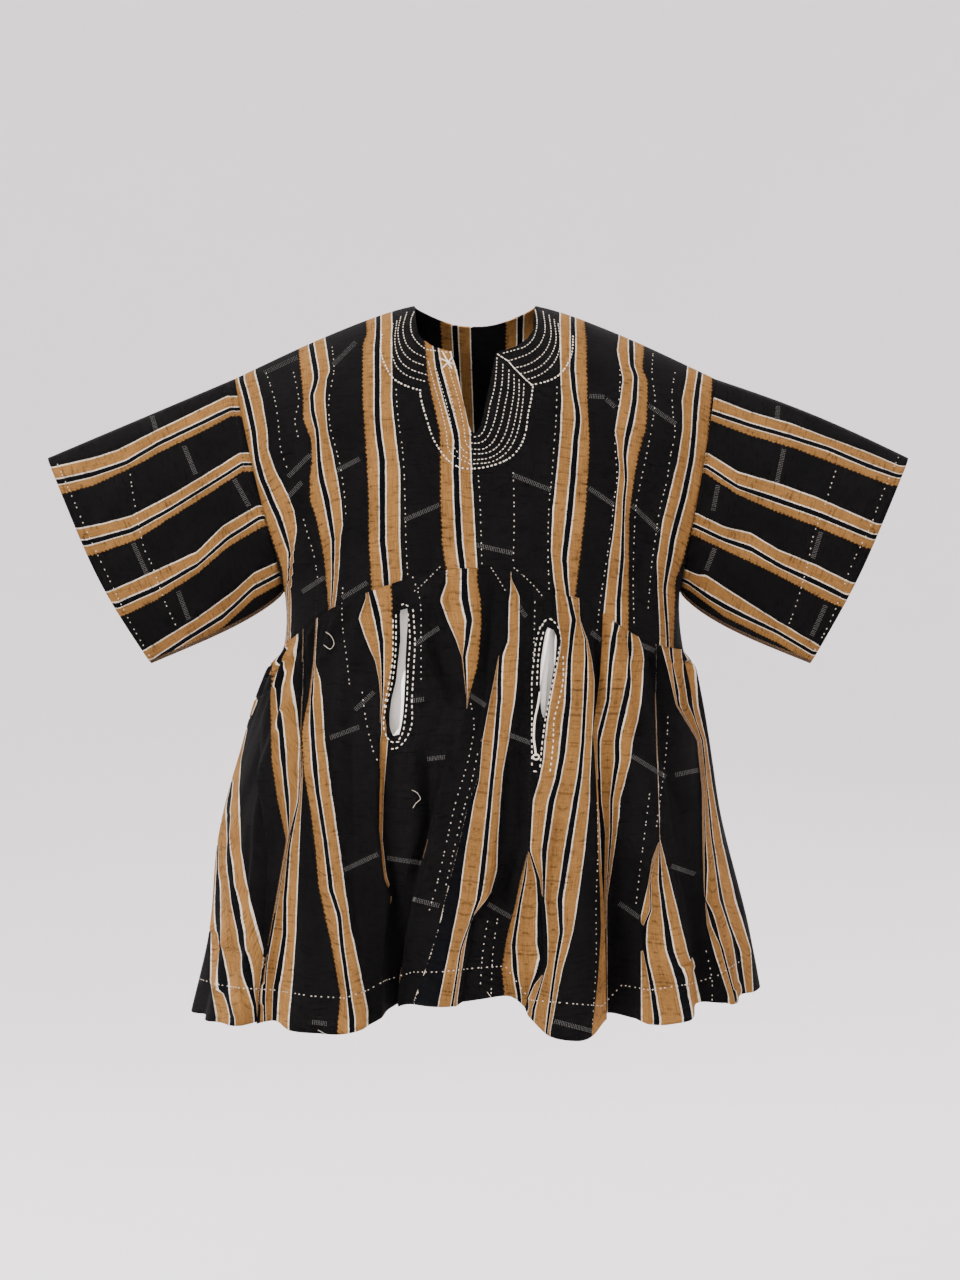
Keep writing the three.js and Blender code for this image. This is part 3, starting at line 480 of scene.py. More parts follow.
# Lines along the sleeves, (column, row) pixels from the cuff or to it, with the distance from
# the selvedge below the first band. The bands repeat downwards, one strip after another.
SLEEVE_LINES = {
    "sleeve_left": [
        (EDGE, [(53, 467), (92, 458), (118, 450), (157, 430), (186, 416), (227, 396)]),
        (NAVY, [(60, 482), (92, 475), (126, 464), (157, 445), (197, 426), (230, 410)]),
        (SELVEDGE, [(65, 494), (92, 486), (131, 468), (157, 454), (197, 434), (232, 416)]),
        (EDGE - STRIP, [(80, 528), (105, 523), (131, 516), (170, 496), (210, 472), (240, 453)]),
        (NAVY - STRIP, [(87, 543), (131, 531), (170, 510), (210, 485), (242, 465)]),
        (SELVEDGE - STRIP, [(92, 556), (137, 540), (170, 518), (210, 493), (243, 471)]),
        (EDGE - 2 * STRIP, [(108, 592), (157, 570), (197, 552), (223, 526), (257, 506)]),
        (NAVY - 2 * STRIP, [(118, 606), (157, 589), (197, 566), (228, 539), (260, 518)]),
        (SELVEDGE - 2 * STRIP, [(122, 617), (157, 600), (197, 574), (228, 547), (264, 526)]),
        (EDGE - 3 * STRIP, [(143, 651), (197, 618), (233, 592), (254, 573), (280, 561)]),
        (NAVY - 3 * STRIP, [(152, 663), (186, 640), (223, 617), (254, 588), (281, 574)]),
        (SELVEDGE - 3 * STRIP, [(152, 673), (186, 651), (223, 628), (254, 599), (281, 584)]),
    ],
    "sleeve_right": [
        (EDGE, [(713, 397), (751, 412), (790, 423), (829, 438), (865, 451), (900, 466)]),
        (NAVY, [(711, 413), (751, 426), (790, 437), (829, 449), (868, 466), (897, 476)]),
        (SELVEDGE, [(709, 420), (751, 436), (790, 447), (829, 462), (891, 486)]),
        (EDGE - STRIP, [(708, 453), (738, 472), (777, 483), (816, 497), (877, 524)]),
        (NAVY - STRIP, [(706, 467), (738, 488), (769, 498), (816, 514), (872, 537)]),
        (SELVEDGE - STRIP, [(705, 473), (735, 493), (769, 509), (816, 527), (867, 549)]),
        (EDGE - 2 * STRIP, [(696, 513), (724, 527), (751, 533), (777, 549), (816, 565), (852, 583)]),
        (NAVY - 2 * STRIP, [(694, 526), (724, 540), (751, 549), (777, 565), (816, 583), (846, 598)]),
        (SELVEDGE - 2 * STRIP, [(693, 535), (738, 557), (777, 575), (816, 596), (842, 608)]),
        (EDGE - 3 * STRIP, [(681, 568), (698, 575), (706, 575), (738, 596), (777, 621), (821, 647)]),
        (NAVY - 3 * STRIP, [(678, 579), (688, 583), (711, 600), (738, 614), (777, 632), (813, 653)]),
        (SELVEDGE - 3 * STRIP, [(678, 586), (688, 590), (724, 617), (777, 643), (811, 664)]),
    ],
}
SLEEVE_CREASES = {
    "sleeve_left": [
        (205, 430, 190, 600, 9, 2.4), (228, 430, 250, 560, 8, -2.4), (150, 440, 165, 600, 13, -1.8),
        (100, 480, 125, 600, 12, 1.6), (240, 560, 205, 610, 7, 2.2), (190, 470, 225, 530, 6, -1.4),
    ],
    "sleeve_right": [
        (745, 425, 760, 590, 9, 2.4), (722, 430, 705, 560, 8, -2.4), (800, 450, 790, 610, 13, -1.8),
        (850, 470, 835, 600, 12, 1.6), (700, 570, 740, 612, 6, 2.4), (735, 480, 775, 540, 6, -1.4),
    ],
}
POCKET_GAPS = {20: "left pocket", 34: "right pocket"}  # the line on the left of each opening
OPEN_FROM = 1.5  # pixels between two lines from which the cloth between is open

# Folds that lie over their neighbour: line of the edge, the side that is on top, how far the
# swell reaches in pixels, and its height in millimetres.
SKIRT_EDGES = [
    (line((700, 262), (790, 262), (850, 270), (955, 266), (1020, 259)), 1, 22, 6),
    (line((663, 316), (745, 326), (830, 338), (930, 352), (1010, 369)), -1, 16, 4),
    (line((700, 381), (830, 380), (893, 392), (960, 386), (1020, 385)), -1, 26, 9),
    (line((708, 466), (745, 455), (800, 437), (850, 425), (900, 413), (990, 398)), 1, 30, 8),
    (line((700, 512), (800, 501), (895, 490), (920, 470), (1000, 458)), -1, 24, 5),
    (line((850, 528), (905, 543), (962, 546), (1010, 526)), 1, 26, 8),
    (line((640, 602), (730, 593), (800, 598), (930, 604), (1035, 606)), -1, 20, 7),
    (line((760, 631), (832, 620), (885, 647), (915, 641), (1021, 640)), 1, 24, 7),
    (line((670, 667), (740, 700), (860, 703), (955, 715), (995, 728)), 1, 22, 5),
]
# Soft valleys: line, half width in pixels, and depth in millimetres.
SKIRT_VALLEYS = [
    (line((600, 302), (700, 300), (800, 300)), 5, 4),
    (line((640, 345), (760, 350), (900, 352), (1000, 372)), 6, 3),
    (line((740, 426), (830, 427), (900, 410)), 7, 7),
    (line((590, 425), (660, 438), (720, 462)), 7, 5),
    (line((600, 492), (700, 484), (760, 470)), 5, 4),
    (line((640, 528), (760, 522), (850, 520), (940, 490)), 7, 5),
    (line((630, 595), (680, 600), (720, 598)), 5, 5),
    (line((840, 617), (900, 620), (1000, 624)), 12, 6),
    (line((600, 645), (680, 655), (760, 668), (840, 690)), 8, 5),
    (line((800, 560), (900, 548), (960, 546)), 4, 3),
    (line((880, 235), (960, 250), (1010, 258)), 4, 3),
]


def beside(points, px, py):
    """Pixels right of a line at the same height, and how far down the line a point is, 0 to 1."""
    along = (py - points[0, 0]) / (points[-1, 0] - points[0, 0])
    return px - column_at(points, py), along


def overlap_relief(px, py, points, side, reach, height):
    """A swell that ends sharply on one side, as where a fold lies over the next."""
    aside, along = beside(points, px, py)
    aside = aside * side
    on_top = np.exp(-np.clip(aside, 0, None) / reach) * smooth((aside + 1.5) / 3)
    shadowed = 0.45 * np.exp(-np.clip(-aside, 0, None) / (0.35 * reach)) * smooth((1.5 - aside) / 3)
    return height * (on_top - shadowed) * smooth(along / 0.3) * smooth((1.15 - along) / 0.15)


def valley_relief(px, py, points, wide, deep):
    aside, along = beside(points, px, py)
    return -deep * bell(aside / wide) * smooth(along / 0.25) * smooth((1 - along) / 0.25)


def crease(px, py, x0, y0, x1, y1, wide):
    """A soft ridge along a straight line of the photograph, fading at both ends."""
    length = math.hypot(x1 - x0, y1 - y0)
    along = ((px - x0) * (x1 - x0) + (py - y0) * (y1 - y0)) / length ** 2
    aside = ((px - x0) * (y1 - y0) - (py - y0) * (x1 - x0)) / length
    return bell(aside / wide) * smooth(along / 0.25) * smooth((1 - along) / 0.25)


# ---- cloth meshes ----

def grid_normals(points, outward):
    """Unit normals of a grid of points; outward is 1 or -1."""
    normal = np.cross(np.gradient(points, axis=0), np.gradient(points, axis=1)) * outward
    return normal / np.maximum(np.linalg.norm(normal, axis=-1, keepdims=True), 1e-9)


class Sheet:
    """A closed thin sheet over a grid of points, with strip coordinates as its UVs."""

    def __init__(self, points, normals, left, right, warp, wall=WALL, keep=None, wrapped=False):
        self.rows, self.columns = points.shape[0] - 1, points.shape[1] - 1
        self.wrapped = wrapped
        self.across = self.columns if wrapped else self.columns + 1
        inner = points - normals * wall
        self.verts = np.concatenate([p[:, :self.across].reshape(-1, 3) for p in (points, inner)]) * MM
        self.left, self.right, self.warp = left, right, warp
        self.keep = np.ones((self.rows, self.columns), bool) if keep is None else keep

    def index(self, row, column, layer):
        wrapped = column % self.columns if self.wrapped else column
        return row * self.across + wrapped + layer * (self.rows + 1) * self.across

    def walls(self):
        row, column = np.nonzero(self.keep)
        corners = [(row, column), (row + 1, column), (row + 1, column + 1), (row, column + 1)]
        outer = np.stack([self.index(r, c, 0) for r, c in corners], 1)
        inner = np.stack([self.index(r, c, 1) for r, c in corners], 1)[:, ::-1]
        strips = [self.left[r, column] if i < 2 else self.right[r, column]
                  for i, (r, c) in enumerate(corners)]
        uvs = np.stack([np.stack([s, self.warp[r, c]], -1) for s, (r, c) in zip(strips, corners)], 1)
        return [outer, inner], [uvs, uvs[:, ::-1]]

    def rims(self):
        """Faces round every edge of the sheet, the neck and the pocket openings included."""
        padded = np.zeros((self.rows + 2, self.columns + 2), bool)
        padded[1:-1, 1:-1] = self.keep
        if self.wrapped:
            padded[1:-1, 0], padded[1:-1, -1] = self.keep[:, -1], self.keep[:, 0]
        sides = [  # the missing neighbour, then the two corners of the shared edge
            ((0, 1), (0, 1), (0, 0)), ((2, 1), (1, 0), (1, 1)),
            ((1, 0), (0, 0), (1, 0)), ((1, 2), (1, 1), (0, 1)),
        ]
        faces, uvs = [], []
        for (up, aside), first, second in sides:
            missing = padded[up:up + self.rows, aside:aside + self.columns]
            row, column = np.nonzero(self.keep & ~missing)
            ends = [(row + r, column + c) for r, c in (first, second)]
            (r0, c0), (r1, c1) = ends
            faces.append(np.stack([self.index(r1, c1, 0), self.index(r0, c0, 0),
                                   self.index(r0, c0, 1), self.index(r1, c1, 1)], 1))
            strip = self.left[np.minimum(row, self.rows), column]
            uv = [np.stack([strip, self.warp[r, c]], -1) for r, c in ends]
            uvs.append(np.stack([uv[1], uv[0], uv[0], uv[1]], 1))
        return faces, uvs

    def build(self, name, material, flip):
        faces, uvs = self.walls()
        rim_faces, rim_uvs = self.rims()
        faces = np.concatenate(faces + rim_faces)
        uvs = np.concatenate(uvs + rim_uvs)
        if flip:
            faces, uvs = faces[:, ::-1], uvs[:, ::-1]
        used, tidy = np.unique(faces, return_inverse=True)
        mesh = bpy.data.meshes.new(name)
        mesh.from_pydata(self.verts[used].tolist(), [], tidy.reshape(faces.shape).tolist())
        flat = np.ascontiguousarray(uvs, np.float32).ravel()
        mesh.uv_layers.new(name="Strips").data.foreach_set("uv", flat)
        mesh.polygons.foreach_set("use_smooth", np.ones(len(faces), bool))
        mesh.update()
        mesh.materials.append(material)
        return add_object(name, mesh)


def add_object(name, data):
    piece = bpy.data.objects.new(name, data)
    bpy.context.scene.collection.objects.link(piece)
    return piece


def down_lengths(points):
    """Millimetres of cloth from the height of the shoulders to each point of a grid."""
    steps = np.linalg.norm(np.diff(points, axis=0), axis=-1)
    return -points[:1, :, 2] + np.vstack([np.zeros((1, points.shape[1])), np.cumsum(steps, axis=0)])


# ---- yoke ----

YOKE_CREASES = [
    (258, 395, 296, 545, 6, 2.5), (285, 420, 322, 590, 8, -2.5), (318, 400, 330, 600, 6, 2.0),
    (347, 420, 352, 590, 9, -1.8), (398, 430, 415, 590, 7, 1.6), (425, 470, 432, 590, 8, -1.6),
    (482, 480, 490, 575, 7, 1.4), (530, 470, 540, 590, 9, -1.8), (600, 430, 590, 590, 8, 1.8),
    (612, 400, 612, 560, 6, -1.6), (665, 430, 635, 600, 8, -2.6), (688, 420, 655, 590, 6, 2.4),
    (300, 545, 360, 590, 7, -1.5), (590, 590, 660, 560, 7, -1.5), (560, 480, 600, 440, 6, 1.0),
    (385, 410, 430, 470, 8, -0.8), (700, 400, 690, 470, 7, 2.0),
]
CREASE_SHARE = 1.7  # how much higher the yoke's creases are than their table says


def first_outside(face, across, outside):
    """Down each column, the first place that is outside the neck opening."""
    downs = np.linspace(0, 0.7, 1400)
    points = yoke_point(face, across[None, :], downs[:, None])
    return downs[np.argmax(outside(points), axis=0)]


def below_neck_edge(points):
    half = np.abs(points[..., 0] - SHOULDER["centre"])
    edge = np.array(NECK_EDGE, float)
    return (half >= SHOULDER["neck"]) | (points[..., 2] <= np.interp(half, edge[:, 0], edge[:, 1]))


def behind_neck_edge(points):
    half = (points[..., 0] - SHOULDER["centre"]) / SHOULDER["neck"]
    return half ** 2 + (points[..., 1] / NECK_BACK_DEPTH) ** 2 >= 1


def yoke_columns():
    """Places across, close together round the neck and its slit."""
    near = [0, 2, 4, 6, 8, 10, 12, 14, 16, 18, 20, 22, 24,
            27, 31, 36, 41, 46, 50, 54, 57, 60, 62, 63.5, 65, 66.05]
    reach = {-1: SHOULDER["centre"] - SECTIONS["left"][0], 1: SECTIONS["right"][0] - SHOULDER["centre"]}
    outer = {side: np.linspace(near[-1], reach[side], 56)[1:-1] for side in reach}
    xs = np.concatenate([-outer[-1][::-1], -np.array(near[:0:-1]), near, outer[1]]) + SHOULDER["centre"]
    spread = 2 * (xs - SECTIONS["left"][0]) / (SECTIONS["right"][0] - SECTIONS["left"][0]) - 1
    return np.concatenate([[0], np.arccos(-spread) / np.pi, [1]])


def back_yoke_strips(across):
    return 3.55 + 3.55 * -np.cos(np.pi * across)


def yoke_strips(face, across, points):
    """Strip coordinate of every point of a yoke, in strips."""
    if face == BACK:
        return back_yoke_strips(across)
    px, py = to_pixels(points)
    borders = np.maximum.accumulate(np.stack([column_at(points, py) for _, points in YOKE_LINES]), axis=0)
    distances = np.array([distance for distance, _ in YOKE_LINES])
    i = np.clip((borders <= px).sum(axis=0) - 1, 0, len(YOKE_LINES) - 2)
    start = np.take_along_axis(borders, i[None], 0)[0]
    end = np.take_along_axis(borders, i[None] + 1, 0)[0]
    share = np.clip((px - start) / np.maximum(end - start, 0.1), -0.3, 1.3)
    return mix(distances[i], distances[i + 1], share) / STRIP


def yoke_relief(face, across, down, points):
    """Creases of the worn yoke beyond its main drape, in millimetres outward."""
    away = np.sin(np.pi * np.clip(across, 0, 1)) ** 0.5 * smooth(down / 0.15) * smooth((1 - down) / 0.06)
    px, py = to_pixels(points * [1, -face, 1])
    if face == BACK:
        px = 2 * CAMERA["width"] / 2 - px
    relief = 1.5 * waves(across * 1.3, down, 3 + face, fineness=(11, 6))
    for x0, y0, x1, y1, wide, high in YOKE_CREASES:
        relief = relief + CREASE_SHARE * crease(px, py, x0, y0, x1, y1, wide) * high
    return relief * away


def build_yoke(name, face):
    columns = yoke_columns()
    start = first_outside(face, columns, below_neck_edge if face == FRONT else behind_neck_edge)
    start[[0, -1]] = 0
    share = np.linspace(0, 1, 67)[:, None] ** 1.3
    down = start[None, :] + (1 - start[None, :]) * share
    across = np.broadcast_to(columns[None, :], down.shape)
    points = yoke_point(face, across, down)
    outward = 1 if face == FRONT else -1
    relief = yoke_relief(face, across, down, points)
    points = points + grid_normals(points, outward) * relief[..., None]
    strips = yoke_strips(face, across, points)
    normals = grid_normals(points, outward)
    sheet = Sheet(points, normals, strips[:, :-1], strips[:, 1:], down_lengths(points))
    return sheet.build(name, STRIPED, face == BACK)


# ---- skirt ----

GATHER_TUCKS = 43  # small tucks along the waist seam
OVERLAP_SHARE = 1.4  # how much higher the overlaps are than their table says
VALLEY_SHARE = 1.8  # how much deeper the valleys are than their table says


def loose_folds(face, across, down):
    """Finer folds and wrinkles between the main ones, in millimetres outward."""
    rng = np.random.default_rng(11 + face)
    relief = 1.5 * waves(across * 2, down, 21 + face, fineness=(16, 6)) * smooth(down / 0.1)
    swing = np.sin(2 * np.pi * (GATHER_TUCKS * across + 0.8 * np.sin(11 * across)))
    tuck_foot = 0.16 + 0.08 * np.sin(29 * across)
    tucks = swing * (0.7 + 0.3 * np.sin(37 * across)) * (1 - smooth(down / tuck_foot))
    relief = relief + 2.2 * tucks * smooth(down / 0.03)
    for _ in range(18 if face == FRONT else 30):
        centre, lean = rng.uniform(0.05, 0.95), rng.uniform(-0.03, 0.03)
        top, foot = rng.uniform(0, 0.5), rng.uniform(0.5, 1.2)
        wide, high = rng.uniform(0.006, 0.016), rng.uniform(-4.2, 4.2)
        fade = smooth((down - top) / 0.2) * smooth((foot - down) / 0.25)
        relief = relief + high * bell((across - centre - lean * down) / wide) * fade
    return relief


def skirt_surface(face):
    def surface(across, down):
        base = skirt_point(face, across, down)
        px, py = to_pixels(base)
        relief = loose_folds(face, across, down)
        if face == FRONT:
            relief = relief + OVERLAP_SHARE * sum(overlap_relief(px, py, *fold) for fold in SKIRT_EDGES)
            relief = relief + VALLEY_SHARE * sum(valley_relief(px, py, *fold) for fold in SKIRT_VALLEYS)
        relief = relief * smooth(down / 0.05) * np.sin(np.pi * np.clip(across, 0, 1)) ** 0.4
        return skirt_point(face, across, down, relief)
    return surface


LEAST_GAP = 0.0003  # between neighbouring lines, as a share of the panel's width
TUCKED = 0.0006  # cloth narrower than this is folded away, and only black shows
FRONT_ROWS = 98
FRONT_SPACING = 1 / 170  # widest column of the skirt front, as a share of the panel's width
BACK_STRIPS = 14
BLACK_AT = 60.0  # a distance from the selvedge that is black


def line_places(surface, down):
    """For one row of the skirt, the place across of each line, found along the row's curve."""
    samples = np.linspace(0, 1, 1600)
    px, py = to_pixels(surface(samples, down))
    px = np.maximum.accumulate(px)
    places, gaps = [], []
    for _, _, points in SKIRT_LINES:
        at = 0.5
        for _ in range(6):
            height = np.interp(at, samples, py)
            at = np.interp(column_at(points, height), px, samples)
        places.append(at)
        gaps.append(column_at(points, height))
    return np.array(places), np.append(np.diff(gaps), 0)


def lined_grid(surface, downs, spacing):
    """A grid whose columns follow the strips, with strip coordinates and what to keep."""
    found = [line_places(surface, down) for down in downs]
    gaps = np.array([f[1] for f in found])
    inner = np.clip(np.array([f[0] for f in found]), LEAST_GAP, 1 - LEAST_GAP)
    borders = np.hstack([
        np.zeros((len(downs), 1)), np.maximum.accumulate(inner, axis=1), np.ones((len(downs), 1)),
    ])
    for i in range(1, borders.shape[1]):
        borders[:, i] = np.maximum(borders[:, i], borders[:, i - 1] + LEAST_GAP)
    borders = borders / borders[:, -1:]
    across, left, right, keep = [borders[:, :1]], [], [], []
    for i in range(borders.shape[1] - 1):
        gap = borders[:, i + 1] - borders[:, i]
        steps = max(1, math.ceil(gap.max() / spacing))
        start = SKIRT_LINES[i - 1][1] if i else SKIRT_LINES[0][0] + 30
        end = SKIRT_LINES[i][0] if i < len(SKIRT_LINES) else SKIRT_LINES[-1][1] + 20
        is_open = gaps[:, i - 1] > OPEN_FROM if i - 1 in POCKET_GAPS else np.zeros(len(downs), bool)
        tucked_away = gap < TUCKED
        for step in range(steps):
            across.append((borders[:, i] + gap * (step + 1) / steps)[:, None])
            left.append(np.where(tucked_away, BLACK_AT, mix(start, end, step / steps))[:, None])
            right.append(np.where(tucked_away, BLACK_AT, mix(start, end, (step + 1) / steps))[:, None])
            keep.append(~(is_open[:-1] & is_open[1:])[:, None])
    return np.hstack(across), np.hstack(left) / STRIP, np.hstack(right) / STRIP, np.hstack(keep)


def build_skirt_front():
    surface = skirt_surface(FRONT)
    downs = np.linspace(0, 1, FRONT_ROWS)
    across, left, right, keep = lined_grid(surface, downs, FRONT_SPACING)
    points = surface(across, np.broadcast_to(downs[:, None], across.shape))
    sheet = Sheet(points, grid_normals(points, 1), left, right, down_lengths(points), keep=keep)
    return sheet.build("skirt_front_cloth", STRIPED, False)


def back_skirt_strips(across, down):
    """The back's strips, drawn unevenly together by the gathers."""
    return (BACK_STRIPS * across + 0.2 + 0.14 * np.sin(9 * across + 3 * down)
            + 0.12 * np.sin(31 * across) * down)


def build_skirt_back():
    surface = skirt_surface(BACK)
    across, down = np.meshgrid(np.linspace(0, 1, 281), np.linspace(0, 1, 101))
    points = surface(across, down)
    strips = back_skirt_strips(across, down)
    sheet = Sheet(points, grid_normals(points, -1), strips[:, :-1], strips[:, 1:], down_lengths(points))
    return sheet.build("skirt_back_cloth", STRIPED, True)


# ---- sleeves ----

NARROWING = 1.2  # how much closer the strips lie at the armhole than at the cuff


def sleeve_strips(node, points, along):
    """Strip coordinate of a sleeve: by the photograph in front, onward from the ridge behind."""
    px, py = to_pixels(points)
    rows, distances = [], []
    for distance, corners in SLEEVE_LINES[node]:
        corners = np.array(corners, float)
        rows.append(np.interp(px, corners[:, 0], corners[:, 1]))
        distances.append(distance)
    rows = np.maximum.accumulate(np.stack(rows), axis=0)
    i = np.clip((rows <= py).sum(axis=0) - 1, 0, len(distances) - 2)
    start = np.take_along_axis(rows, i[None], 0)[0]
    end = np.take_along_axis(rows, i[None] + 1, 0)[0]
    distances = np.array(distances)
    front = mix(distances[i], distances[i + 1], (py - start) / np.maximum(end - start, 0.1))
    half = points.shape[1] // 2
    behind = points[:, :half - 1:-1]
    steps = np.linalg.norm(np.diff(behind, axis=1), axis=-1)
    onward = np.hstack([np.zeros((len(points), 1)), np.cumsum(steps, axis=1)])
    back = front[:, :1] + onward * mix(NARROWING, 1, along[:, :1])
    return np.hstack([front[:, :half], back[:, ::-1]]) / STRIP


def sleeve_relief(node, points, around, along):
    relief = 2.2 * waves(around * 2, along, 31 + SLEEVES[node]["edge"], fineness=(5, 2))
    px, py = to_pixels(points * [1, 0, 1])
    for x0, y0, x1, y1, wide, high in SLEEVE_CREASES[node]:
        relief = relief + crease(px, py, x0, y0, x1, y1, wide) * high
    relief = relief - 1.2 * bell((along - 0.15) / 0.12)
    return relief * np.sin(np.pi * along) ** 0.6 * smooth(np.abs(np.sin(2 * np.pi * around)) / 0.3)


def build_sleeve(node):
    sleeve = SLEEVES[node]
    around, along = np.meshgrid(np.linspace(0, 1, 145), np.linspace(0, 1, 61))
    points = sleeve_point(sleeve, around, along)
    outward = 1 if sleeve["edge"] == 1 else -1
    ring = np.concatenate([points[:, -2:-1], points, points[:, 1:2]], axis=1)
    normals = -grid_normals(ring, outward)[:, 1:-1]
    points = points + normals * sleeve_relief(node, points, around, along)[..., None]
    strips = sleeve_strips(node, points, along)
    sheet = Sheet(points, normals, strips[:, :-1], strips[:, 1:], along * SLEEVE_LENGTH, wrapped=True)
    return sheet.build(node + "_cloth", STRIPED, sleeve["edge"] == 1)


# ---- pockets ----

def beside_slit(pocket, share, aside):
    """Places across and down, a number of millimetres beside a pocket slit's middle."""
    degrees = mix(pocket["top"][0], pocket["foot"][0], share)
    down = mix(pocket["top"][1], pocket["foot"][1], share)
    side_z = mix(WAIST_SIDE_Z, HEM_Z, down)
    width = SECTION["right"](side_z) - SECTION["left"](side_z)
    turn = aside * 2 / (width * np.sin(np.radians(degrees)))
    return degrees / 180 + turn / np.pi, down


def keep_behind(points, skirt, free):
    """Moves points back until they are clear of the skirt's front, except where free."""
    tree = Cloth([skirt]).tree
    for index in zip(*np.nonzero(~free)):
        x, y, z = points[index]
        hits = [tree.ray_cast(Vector((x + step, -400, z)) * MM, Vector((0, 1, 0)))[0] for step in (-5, 0, 5)]
        cloth = [hit.y / MM for hit in hits if hit is not None and hit.y < 0]
        if cloth:
            points[index][1] = max(y, max(cloth) + BAG["front"])
    return points


def build_bag(node, skirt):
    """A white bag from one lip of the slit round its back to the other lip."""
    pocket = POCKETS[node]
    surface = skirt_surface(FRONT)
    share, turn = np.meshgrid(
        np.linspace(-BAG["above"], 1 + BAG["below"], 61), np.linspace(0, 1, 61), indexing="ij")
    top, middle, foot = pocket["half"]
    lip = np.interp(share, [-0.02, 0.03, 0.5, 0.97, 1.02], [0.2, top, middle, foot, 0.2])
    # from the right lip out, across the back and in again to the left lip
    front_part = 0.22
    out = np.clip(turn / front_part, 0, 1)
    back = np.clip((turn - front_part) / (1 - 2 * front_part), 0, 1)
    home = np.clip((turn - 1 + front_part) / front_part, 0, 1)
    half = BAG["half_width"] - 1
    aside = mix(lip, half, out) - 2 * half * back + (half - lip) * home
    end = np.sin(np.pi * (share + BAG["above"]) / (1 + BAG["above"] + BAG["below"])).clip(0) ** 0.35
    belly = np.sin(np.pi * back).clip(0) ** 0.5
    forward = 0.82 * bell(aside / 16) * bell((share - 0.55) / 0.55)
    depth = BAG["front"] + (BAG["rim"] * belly + BAG["bulge"] * belly * end * (1 - forward)) * end
    straight = np.broadcast_to(np.linspace(half, -half, 61), share.shape)
    normals = -grid_normals(surface(*beside_slit(pocket, share, straight)), 1)
    normals = normals[:, np.clip((back[0] * 60).astype(int), 0, 60)]
    points = surface(*beside_slit(pocket, share, aside)) - normals * depth[..., None]
    at_lip = (np.abs(aside) < lip + 2) & (belly == 0)
    in_slit = (belly > 0) & (np.abs(aside) < lip + 5) & (share > 0) & (share < 1)
    points = keep_behind(points, skirt, at_lip | in_slit)
    zeros = np.zeros(share.shape)
    sheet = Sheet(points, grid_normals(points, -1), zeros[:, :-1], zeros[:, 1:], zeros, wall=BAG["wall"])
    return sheet.build(node + "_cloth", COTTON, True)


# ---- thread laid on the cloth ----

